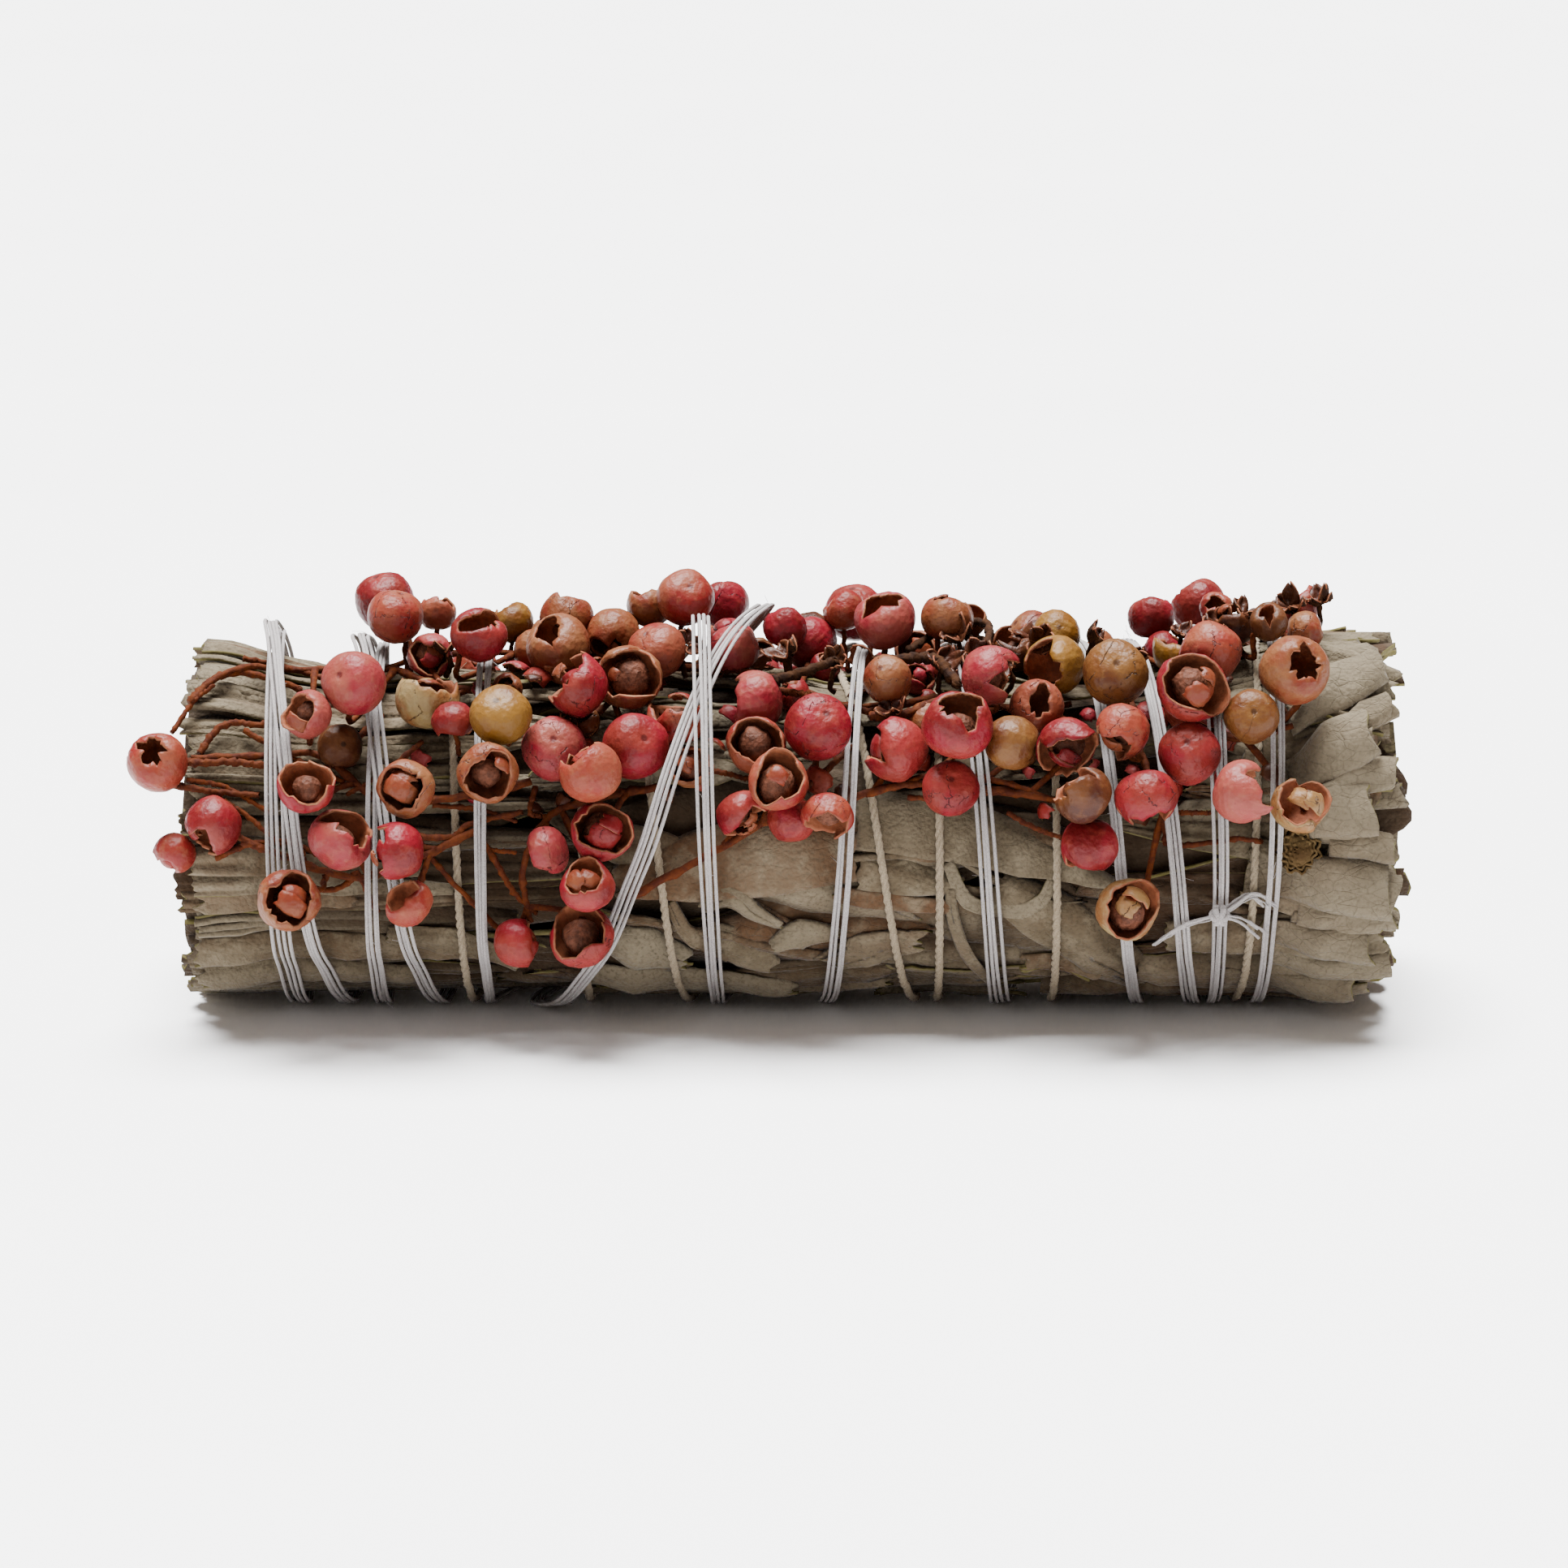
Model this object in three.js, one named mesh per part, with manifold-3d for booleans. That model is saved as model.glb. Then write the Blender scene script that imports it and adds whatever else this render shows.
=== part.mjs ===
// A white sage smudge stick: a bunch of dried sage leaves on their stems, wound with a cream cotton
// cord, then dressed with sprays of pink pepper berries that a flat white string ties down.
// Millimetres. +X runs along the stick towards the leaf tips, +Z is up, and -Y faces the viewer.
import * as THREE from 'three';
import { mergeVertices } from 'three/addons/utils/BufferGeometryUtils.js';
import Module from 'manifold-3d';

const wasm = await Module();
wasm.setup();

// Driving dimensions of the bunch.
const BUNCH_LEFT = -48;
const BUNCH_RIGHT = 51.6;
const AXIS_Y = 1.8;
const LEAF_REACH = 13.4;
const TIE_ROOM = 1.1;
const AXIS_Z = LEAF_REACH + TIE_ROOM;
// The sprays press the leaves in, and the bunch is fuller on top at both ends.
const PRESSED_IN = 1.3;
const PRESSED_AT_DEGREES = 75;
const TIP_END_FULLER = 2.2;
const STALK_END_FULLER = 1.2;
// How wide, to either side of straight down, the bunch is flat where it rests.
const REST_DEGREES = 12;

// Leaf blades, which lie over each other like shingles.
const LEAF_THICK = 0.6;
const LEAF_COLUMNS = 8;
const STEP_ACROSS = 1.2;
const STEP_ALONG = 1.35;
const LEAF_SHARE = 0.7;
const LEAF_STATIONS = 6;
const LEAF_CELLS = 4;
const ROW_SHIFT = 1.6;
const TIP_BOW = 1.5;
const EDGE_WAVE = 0.06;
// How uneven the leaves' ends are at the two ends of the bunch.
const RAGGED = { stalk_end: 1.6, middle: 0, tip_end: 3.2 };

// The folded leaves inside: long bars round a core, and stems that show at the ends.
const INNER_BARS = 10;
const INNER_WIDE = 2.8;
const INNER_THICK = 1.3;
const INNER_SINK = STEP_ACROSS + STEP_ALONG + LEAF_THICK + 0.5;
const BAR_STATIONS = 4;
const BAR_SIDES = 6;
const CORE_REACH = 7.6;
const CORE_SIDES = 10;
const CORE_SHORTER = { left: 3, right: 4 };
const STEM_COUNT = 6;
const STEMS_AT_LEFT = 4;
const STEM_LENGTH = 8;
const STEM_REACHES = [2.6, 5.3];
const STEM_THICK = 1.3;

// String, cord and twigs.
const STRING_WIDTH = 1.4;
const STRING_THICK = 0.4;
const CORD_THICK = 0.7;
const TURN_STEPS = 18;
const TWIG_RADIUS = 0.3;
const TWIG_SIDES = 3;
const TWIG_LIFT = TIE_ROOM + 0.7;
const STRING_OVER_TWIGS = 1.8;
const GAP = 0.3;
// Half widths of the clear room beside the string, and the height at which twigs rise to high berries.
const ELBOW_GAP = 0.7;
const SHOULDER_LIFT = 3.9;
const SIDE_STEP = 0.4;
const SIDE_STEPS = 12;
const BRANCH_BACK = 2.5;
// One half turn of the string lies over berries, so it runs higher there.
const RAISED_HALF = 10;
const RAISE = 3.6;
const RISE_DEGREES = 28;
const FALL_DEGREES = { from: 78, to: 100 };

// Berries.
const BERRY_SIDES = 6;
const HUSK_THICK = 0.6;
const SHOULDER_LATITUDE = 45;
const RIM_LATITUDE = 36;
const RIM_JAG_DEGREES = 9;
const HOLLOW_SHARE = -0.3;
const NAVEL_SHARE = 0.93;

// The reference photograph's viewpoint. Places read from it below are its pixels.
const EYE_DISTANCE = 500;
const EYE_ELEVATION = THREE.MathUtils.degToRad(14);
const PIXELS_PER_MM = 14.9;
const PICTURE_MIDDLE = 966;
const AXIS_PIXEL = { x: 955, y: 1018 };
const SEEN_FROM = new THREE.Vector3(0, -Math.cos(EYE_ELEVATION), Math.sin(EYE_ELEVATION));
const PICTURE_UP = new THREE.Vector3(0, Math.sin(EYE_ELEVATION), Math.cos(EYE_ELEVATION));
const PICTURE_RIGHT = new THREE.Vector3(1, 0, 0);
const EYE = new THREE.Vector3(0, AXIS_Y, AXIS_Z)
  .addScaledVector(PICTURE_RIGHT, (PICTURE_MIDDLE - AXIS_PIXEL.x) / PIXELS_PER_MM)
  .addScaledVector(PICTURE_UP, (AXIS_PIXEL.y - PICTURE_MIDDLE) / PIXELS_PER_MM)
  .addScaledVector(SEEN_FROM, EYE_DISTANCE);

const { sin, cos, abs, min, max, hypot, PI } = Math;
const radians = THREE.MathUtils.degToRad;
const smooth = (low, high, value) => THREE.MathUtils.smoothstep(value, low, high);

// A point by its place along the stick, its angle round the axis (0 faces the viewer, 90 degrees
// is up) and its distance from the axis.
function place(x, angle, reach) {
  return new THREE.Vector3(x, AXIS_Y - reach * cos(angle), AXIS_Z + reach * sin(angle));
}

// The same three numbers for a point.
function placeOf(point) {
  const back = point.y - AXIS_Y;
  const up = point.z - AXIS_Z;
  return { x: point.x, angle: Math.atan2(up, -back), reach: hypot(back, up) };
}

// Where the line of sight through a pixel meets a tube of the given reach round the axis, or
// passes closest to the axis where it misses.
function seenAt([px, py], reach) {
  const ray = SEEN_FROM.clone().multiplyScalar(-EYE_DISTANCE)
    .addScaledVector(PICTURE_RIGHT, (px - PICTURE_MIDDLE) / PIXELS_PER_MM)
    .addScaledVector(PICTURE_UP, (PICTURE_MIDDLE - py) / PIXELS_PER_MM);
  const fromY = EYE.y - AXIS_Y;
  const fromZ = EYE.z - AXIS_Z;
  const square = ray.y * ray.y + ray.z * ray.z;
  const half = fromY * ray.y + fromZ * ray.z;
  const rest = half * half - square * (fromY * fromY + fromZ * fromZ - reach * reach);
  const share = (-half - Math.sqrt(max(rest, 0))) / square;
  return EYE.clone().addScaledVector(ray, share);
}

// How far an angle lies from another, the short way round.
const turnBetween = (a, b) => Math.atan2(sin(a - b), cos(a - b));

// How far the leaves reach from the axis: a round bunch, pressed in where the sprays lie, and
// fuller on top at both ends.
function leafReach(x, angle) {
  const along = smooth(-46, -35, x) * (1 - smooth(29, 43, x));
  const pressed = cos(min(PI / 2, abs(turnBetween(angle, radians(PRESSED_AT_DEGREES))) * 0.9)) ** 2;
  const up = max(0, sin(angle)) ** 2;
  const fuller = TIP_END_FULLER * smooth(25, 45, x) * up
    + STALK_END_FULLER * (1 - smooth(-46, -35, x)) * up;
  const waves = 0.2 * sin(3 * angle + 0.11 * x) + 0.14 * sin(2 * angle - 0.17 * x + 1);
  return LEAF_REACH - PRESSED_IN * pressed * along + fuller
    + waves * smooth(-0.9, -0.2, sin(angle));
}

// How far a tie round the leaves reaches. Its lowest stretch is flat, and the stick rests on it.
function tieReach(x, angle) {
  const down = -sin(angle);
  if (down > cos(radians(REST_DEGREES))) return AXIS_Z / down;
  return leafReach(x, angle) + TIE_ROOM;
}

// How low round the bunch the sprays hang, in degrees, by the place along it.
const SPRAY_EDGE = [
  { x: -14, low: -26 }, { x: -9, low: -8 }, { x: 0, low: -6 }, { x: 3, low: 6 },
  { x: 20, low: 6 }, { x: 24, low: -24 }, { x: 33, low: -24 }, { x: 38, low: 6 },
];
const SPRAY_BACK_EDGE = 154;
const SPRAY_MIDDLE = 64;
const EDGE_WIDTH = 16;

function sprayEdge(x) {
  if (x <= SPRAY_EDGE[0].x) return SPRAY_EDGE[0].low;
  const next = SPRAY_EDGE.findIndex((stop) => stop.x >= x);
  if (next < 0) return SPRAY_EDGE.at(-1).low;
  const [a, b] = [SPRAY_EDGE[next - 1], SPRAY_EDGE[next]];
  return a.low + ((b.low - a.low) * (x - a.x)) / (b.x - a.x);
}

// One where the sprays lie, nought elsewhere.
function underSprays(x, angle) {
  const middle = radians(SPRAY_MIDDLE);
  const turned = THREE.MathUtils.radToDeg(middle + turnBetween(angle, middle));
  const low = sprayEdge(x);
  return smooth(low - EDGE_WIDTH, low, turned)
    * (1 - smooth(SPRAY_BACK_EDGE, SPRAY_BACK_EDGE + EDGE_WIDTH, turned));
}

// Turns triangles into a mesh geometry that faces out.
function closedGeometry(points, triangles) {
  const positions = points.flatMap((p) => [p.x, p.y, p.z]);
  let volume = 0;
  for (const [a, b, c] of triangles) {
    volume += points[a].dot(new THREE.Vector3().crossVectors(points[b], points[c]));
  }
  const faces = volume < 0 ? triangles.map(([a, b, c]) => [a, c, b]) : triangles;
  return new THREE.BufferGeometry()
    .setAttribute('position', new THREE.Float32BufferAttribute(positions, 3))
    .setIndex(faces.flat());
}

// Skins a row of rings of equal count. Each end closes on a point.
function skin(rings, startPoint, endPoint) {
  const count = rings[0].length;
  const points = [startPoint, ...rings.flat(), endPoint];
  const last = points.length - 1;
  const triangles = [];
  for (let j = 0; j < count; j++) {
    const next = (j + 1) % count;
    triangles.push([0, 1 + next, 1 + j]);
    triangles.push([last, last - count + j, last - count + next]);
    for (let i = 0; i < rings.length - 1; i++) {
      const low = 1 + i * count;
      const high = low + count;
      triangles.push([low + j, low + next, high + next], [low + j, high + next, high + j]);
    }
  }
  return closedGeometry(points, triangles);
}

const middleOf = (ring) => ring.reduce((sum, p) => sum.add(p), new THREE.Vector3())
  .divideScalar(ring.length);

// A round bar through points, with a radius at each.
function bar(points, radii, sides) {
  let across = null;
  const rings = points.map((point, i) => {
    const before = points[max(i - 1, 0)];
    const after = points[min(i + 1, points.length - 1)];
    const ahead = after.clone().sub(before).normalize();
    across ??= new THREE.Vector3(0.31, 0.17, 0.93);
    across = across.clone().addScaledVector(ahead, -across.dot(ahead)).normalize();
    const aside = new THREE.Vector3().crossVectors(ahead, across);
    return Array.from({ length: sides }, (_, j) => {
      const turn = (2 * PI * j) / sides;
      return point.clone().addScaledVector(across, radii[i] * cos(turn))
        .addScaledVector(aside, radii[i] * sin(turn));
    });
  });
  return skin(rings, middleOf(rings[0]), middleOf(rings.at(-1)));
}

// Turns a closed mesh geometry into a solid, and back.
function toSolid(geometry) {
  const bare = geometry.clone();
  bare.deleteAttribute('normal');
  bare.deleteAttribute('uv');
  const merged = mergeVertices(bare, 1e-4);
  return new wasm.Manifold(new wasm.Mesh({
    numProp: 3,
    vertProperties: new Float32Array(merged.attributes.position.array),
    triVerts: new Uint32Array(merged.index.array),
  }));
}

function toGeometry(solid) {
  const mesh = solid.getMesh();
  return new THREE.BufferGeometry()
    .setAttribute('position', new THREE.BufferAttribute(new Float32Array(mesh.vertProperties), 3))
    .setIndex(new THREE.BufferAttribute(new Uint32Array(mesh.triVerts), 1));
}

// Joins geometries into one body, and drops any scrap that stays loose.
function fuse(geometries) {
  const joined = geometries.map(toSolid).reduce((sum, solid) => sum.add(solid));
  const bodies = joined.decompose().sort((a, b) => b.volume() - a.volume());
  return toGeometry(bodies[0]);
}

// A repeatable run of numbers from 0 to 1.
function numbersFrom(seed) {
  let state = seed;
  return () => {
    state = (state * 16807) % 2147483647;
    return state / 2147483647;
  };
}

// Windings

// Where each turn shows at the top and at the bottom of the picture, in order.
const STRING_TURNS = [
  [345, 372], [335, 432], [474, 474], [445, 545], [602, 607], [945, 663], [862, 886],
  [1062, 1020], [1180, 1233], [1330, 1402], [1392, 1470], [1480, 1494], [1560, 1548],
];
const CORD_TURNS = [
  [560, 585], [720, 728], [775, 850], [1030, 1128], [1150, 1155], [1290, 1296], [1542, 1521],
];
const TOP_ANGLE = radians(100);
const HALF_TURN = TURN_STEPS / 2;
const alongOf = (px) => (px - AXIS_PIXEL.x) / PIXELS_PER_MM;

// The places of a winding: down the front from top to bottom, then up the back to the next top.
function windingPlaces(turns) {
  const stops = turns.flat().map(alongOf);
  const places = [];
  for (let half = 0; half < stops.length - 1; half++) {
    for (let step = 0; step < HALF_TURN; step++) {
      const share = step / HALF_TURN;
      const x = stops[half] + (stops[half + 1] - stops[half]) * share;
      places.push({ x, angle: TOP_ANGLE - PI * (half + share) });
    }
  }
  places.push({ x: stops.at(-1), angle: TOP_ANGLE - PI * (stops.length - 1) });
  return places;
}

// Lifts each stretch that crosses an earlier one clear over it.
function liftCrossings(places, earlier, room, nearness) {
  for (let i = 0; i < places.length - 1; i++) {
    for (const [from, to] of earlier(i)) {
      const apart = places[i].x - from.x;
      const apartNext = places[i + 1].x - to.x;
      if (apart * apartNext > 0 && min(abs(apart), abs(apartNext)) > nearness) continue;
      places[i].reach = max(places[i].reach, from.reach + room);
      places[i + 1].reach = max(places[i + 1].reach, to.reach + room);
    }
  }
}

// Pairs of neighbouring places on another winding that lie on the same two angles.
function sameAngles(places, others, i) {
  const pairs = [];
  for (let k = i % TURN_STEPS; k < others.length - 1; k += TURN_STEPS) {
    if (others === places && k >= i) break;
    pairs.push([others[k], others[k + 1]]);
  }
  return pairs;
}

function cordPlaces() {
  const places = windingPlaces(CORD_TURNS);
  for (const p of places) p.reach = tieReach(p.x, p.angle) - CORD_THICK / 2;
  return places;
}

// How much higher the string runs at its nth place.
function raisedBy(i) {
  const past = i - RAISED_HALF * HALF_TURN;
  if (abs(past) > HALF_TURN) return 0;
  const turned = (past * 180) / HALF_TURN;
  if (past < 0) return RAISE * (1 - smooth(0, RISE_DEGREES, -turned));
  return RAISE * (1 - smooth(FALL_DEGREES.from, FALL_DEGREES.to, turned));
}

function stringPlaces(cord) {
  const places = windingPlaces(STRING_TURNS);
  places.forEach((p, i) => {
    const overTwigs = STRING_OVER_TWIGS * underSprays(p.x, p.angle);
    p.reach = tieReach(p.x, p.angle) + overTwigs + raisedBy(i) - STRING_THICK / 2;
  });
  const overCord = STRING_THICK / 2 + CORD_THICK / 2 + GAP;
  const overString = STRING_THICK + GAP;
  const reachOver = STRING_WIDTH / 2 + CORD_THICK / 2 + GAP;
  liftCrossings(places, (i) => sameAngles(places, cord, i), overCord, reachOver);
  liftCrossings(places, (i) => sameAngles(places, places, i), overString, STRING_WIDTH + GAP / 2);
  return places;
}

// A flat band laid along the places of a winding.
function bandGeometry(places, width, thick) {
  const corners = [[-1, -1], [1, -1], [1, 1], [-1, 1]];
  const rings = places.map((p) => corners.map(([side, out]) => (
    place(p.x + (side * width) / 2, p.angle, p.reach + (out * thick) / 2))));
  return skin(rings, middleOf(rings[0]), middleOf(rings.at(-1)));
}

// The knot where the string's ends are tied, and the ends themselves.
const KNOT_PIXEL = [1500, 1112];
const KNOT_RADIUS = 0.95;
const END_RADIUS = 0.4;
const END_LIFT = 0.75;
const END_SIDES = 4;
const STRING_ENDS = [
  [[1420, 1142], [1458, 1122], KNOT_PIXEL, [1540, 1100], [1566, 1116]],
  [KNOT_PIXEL, [1530, 1130], [1556, 1148]],
];

function knotGeometries() {
  const onTies = (pixel) => {
    const seen = placeOf(seenAt(pixel, AXIS_Z));
    return place(seen.x, seen.angle, tieReach(seen.x, seen.angle) + END_LIFT
      + STRING_OVER_TWIGS * underSprays(seen.x, seen.angle));
  };
  const ends = STRING_ENDS.map((pixels) => (
    bar(pixels.map(onTies), pixels.map(() => END_RADIUS), END_SIDES)));
  const knot = new THREE.IcosahedronGeometry(KNOT_RADIUS, 0);
  knot.translate(...onTies(KNOT_PIXEL).toArray());
  return [...ends, knot];
}

// Leaves

// Each ring of leaves: where its stalk ends start, and how wide a leaf is along its length.
const LEAF_RINGS = [
  {
    name: 'stalk_end',
    start: BUNCH_LEFT,
    length: 40,
    wide: (t) => 0.92 - 0.75 * smooth(0.45, 1, t),
  },
  {
    name: 'middle',
    start: -21,
    length: 43,
    wide: (t) => 0.3 + 0.7 * sin(PI * min(1, t * 1.1)) ** 0.6,
  },
  {
    name: 'tip_end',
    start: 7,
    length: BUNCH_RIGHT - 7,
    wide: (t) => 0.3 + 0.65 * smooth(0, 0.45, t),
  },
];

// The leaves' rows drift round the bunch and waver, so that no row runs straight.
function wavered(x, angle) {
  return angle + 0.0045 * x + 0.09 * sin(0.075 * x + 2 * angle) + 0.04 * sin(0.16 * x + angle);
}

// One leaf blade, thin and curved round the bunch: a grid of places under it and one over it.
function leafGeometry(ring, column, random) {
  const spacing = (2 * PI) / LEAF_COLUMNS;
  const middle = column * spacing;
  const raggedness = Array.from({ length: LEAF_CELLS + 1 }, () => -RAGGED[ring.name] * random());
  const edgeWaves = [random() * 6, random() * 6];
  const isFirst = ring.name === 'stalk_end';
  const isLast = ring.name === 'tip_end';
  const shift = isFirst ? 0 : ROW_SHIFT * sin(3 * middle);
  const under = [];
  const over = [];
  for (let i = 0; i <= LEAF_STATIONS; i++) {
    const t = i / LEAF_STATIONS;
    for (let j = 0; j <= LEAF_CELLS; j++) {
      const side = (2 * j) / LEAF_CELLS - 1;
      const bow = isLast || t < 0.5 ? 0 : -TIP_BOW * side * side * t;
      let end = 0;
      if (isFirst && i === 0) end = -raggedness[j];
      if (isLast && i === LEAF_STATIONS) end = raggedness[j];
      const wave = 1 + EDGE_WAVE * sin(9 * t + edgeWaves[side < 0 ? 0 : 1]);
      const span = side * LEAF_SHARE * ring.wide(t) * wave;
      const along = ring.start + ring.length * t + shift * (isLast ? 1 - t : 1) + bow + end;
      const x = min(along, BUNCH_RIGHT);
      const angle = wavered(x, middle + span * spacing);
      const layer = STEP_ACROSS * (0.5 + span / (2 * LEAF_SHARE)) + STEP_ALONG * t;
      const reach = leafReach(x, angle) - STEP_ACROSS - STEP_ALONG - LEAF_THICK + layer;
      under.push(place(x, angle, reach));
      over.push(place(x, angle, reach + LEAF_THICK));
    }
  }
  const points = [...under, ...over];
  const row = LEAF_CELLS + 1;
  const lift = under.length;
  const triangles = [];
  const quad = (a, b, c, d) => triangles.push([a, b, c], [a, c, d]);
  for (let i = 0; i < LEAF_STATIONS; i++) {
    for (let j = 0; j < LEAF_CELLS; j++) {
      const a = i * row + j;
      quad(a, a + 1, a + row + 1, a + row);
      quad(lift + a, lift + a + row, lift + a + row + 1, lift + a + 1);
    }
    const near = i * row;
    const far = near + LEAF_CELLS;
    quad(near, near + row, lift + near + row, lift + near);
    quad(far + row, far, lift + far, lift + far + row);
  }
  for (let j = 0; j < LEAF_CELLS; j++) {
    const last = LEAF_STATIONS * row;
    quad(j + 1, j, lift + j, lift + j + 1);
    quad(last + j, last + j + 1, lift + last + j + 1, lift + last + j);
  }
  return closedGeometry(points, triangles);
}

// A row of places round the axis at one place along it.
function ringAt(x, reach, sides) {
  return Array.from({ length: sides }, (_, j) => place(x, (2 * PI * j) / sides, reach));
}

// One long folded leaf inside the bunch, flat against the blades over it.
function innerBarGeometry(angle, random) {
  const wide = INNER_WIDE + 0.3 * random();
  const left = BUNCH_LEFT + 0.4 + 1.6 * random();
  const right = BUNCH_RIGHT - 0.6 - 2.6 * random();
  const sway = random() * 6;
  const rings = Array.from({ length: BAR_STATIONS + 1 }, (_, i) => {
    const x = left + ((right - left) * i) / BAR_STATIONS;
    const here = wavered(x, angle) + 0.06 * sin(x / 9 + sway);
    const reach = leafReach(x, here) - INNER_SINK - INNER_THICK;
    return Array.from({ length: BAR_SIDES }, (__, j) => {
      const turn = (2 * PI * j) / BAR_SIDES;
      return place(x, here + (wide * cos(turn)) / reach, reach + INNER_THICK * sin(turn));
    });
  });
  return skin(rings, middleOf(rings[0]), middleOf(rings.at(-1)));
}

// A stem that shows at one end of the bunch.
function stemGeometry(k, random) {
  const angle = (2 * PI * (k + 0.4 * random())) / STEM_COUNT;
  const reach = STEM_REACHES[k % STEM_REACHES.length];
  const thick = STEM_THICK + 0.5 * random();
  const isLeft = k < STEMS_AT_LEFT;
  const outer = isLeft ? BUNCH_LEFT + 0.3 + 1.5 * random() : BUNCH_RIGHT - 1 - 2 * random();
  const inner = isLeft ? BUNCH_LEFT + STEM_LENGTH : BUNCH_RIGHT - STEM_LENGTH - 1;
  return bar([place(inner, angle, reach), place(outer, angle, reach)], [thick, thick], BAR_SIDES);
}

// The stems and folded leaves inside, pressed into one bunch.
function innerBunchGeometry() {
  const random = numbersFrom(71);
  const coreLeft = ringAt(BUNCH_LEFT + CORE_SHORTER.left, CORE_REACH, CORE_SIDES);
  const coreRight = ringAt(BUNCH_RIGHT - CORE_SHORTER.right, CORE_REACH, CORE_SIDES);
  const parts = [skin([coreLeft, coreRight], middleOf(coreLeft), middleOf(coreRight))];
  for (let k = 0; k < INNER_BARS; k++) {
    const angle = (2 * PI * (k + 0.3 * random())) / INNER_BARS;
    parts.push(innerBarGeometry(angle, random));
  }
  for (let k = 0; k < STEM_COUNT; k++) parts.push(stemGeometry(k, random));
  return fuse(parts);
}

// Berries

// Directions in which a broken husk opens.
const OPENINGS = {
  front: SEEN_FROM,
  up: PICTURE_UP,
  down: PICTURE_UP.clone().negate(),
  left: PICTURE_RIGHT.clone().negate(),
  right: PICTURE_RIGHT,
};

function openingOf(words) {
  return words.split(' ').reduce((sum, word) => sum.add(OPENINGS[word]), new THREE.Vector3())
    .normalize();
}

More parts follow.
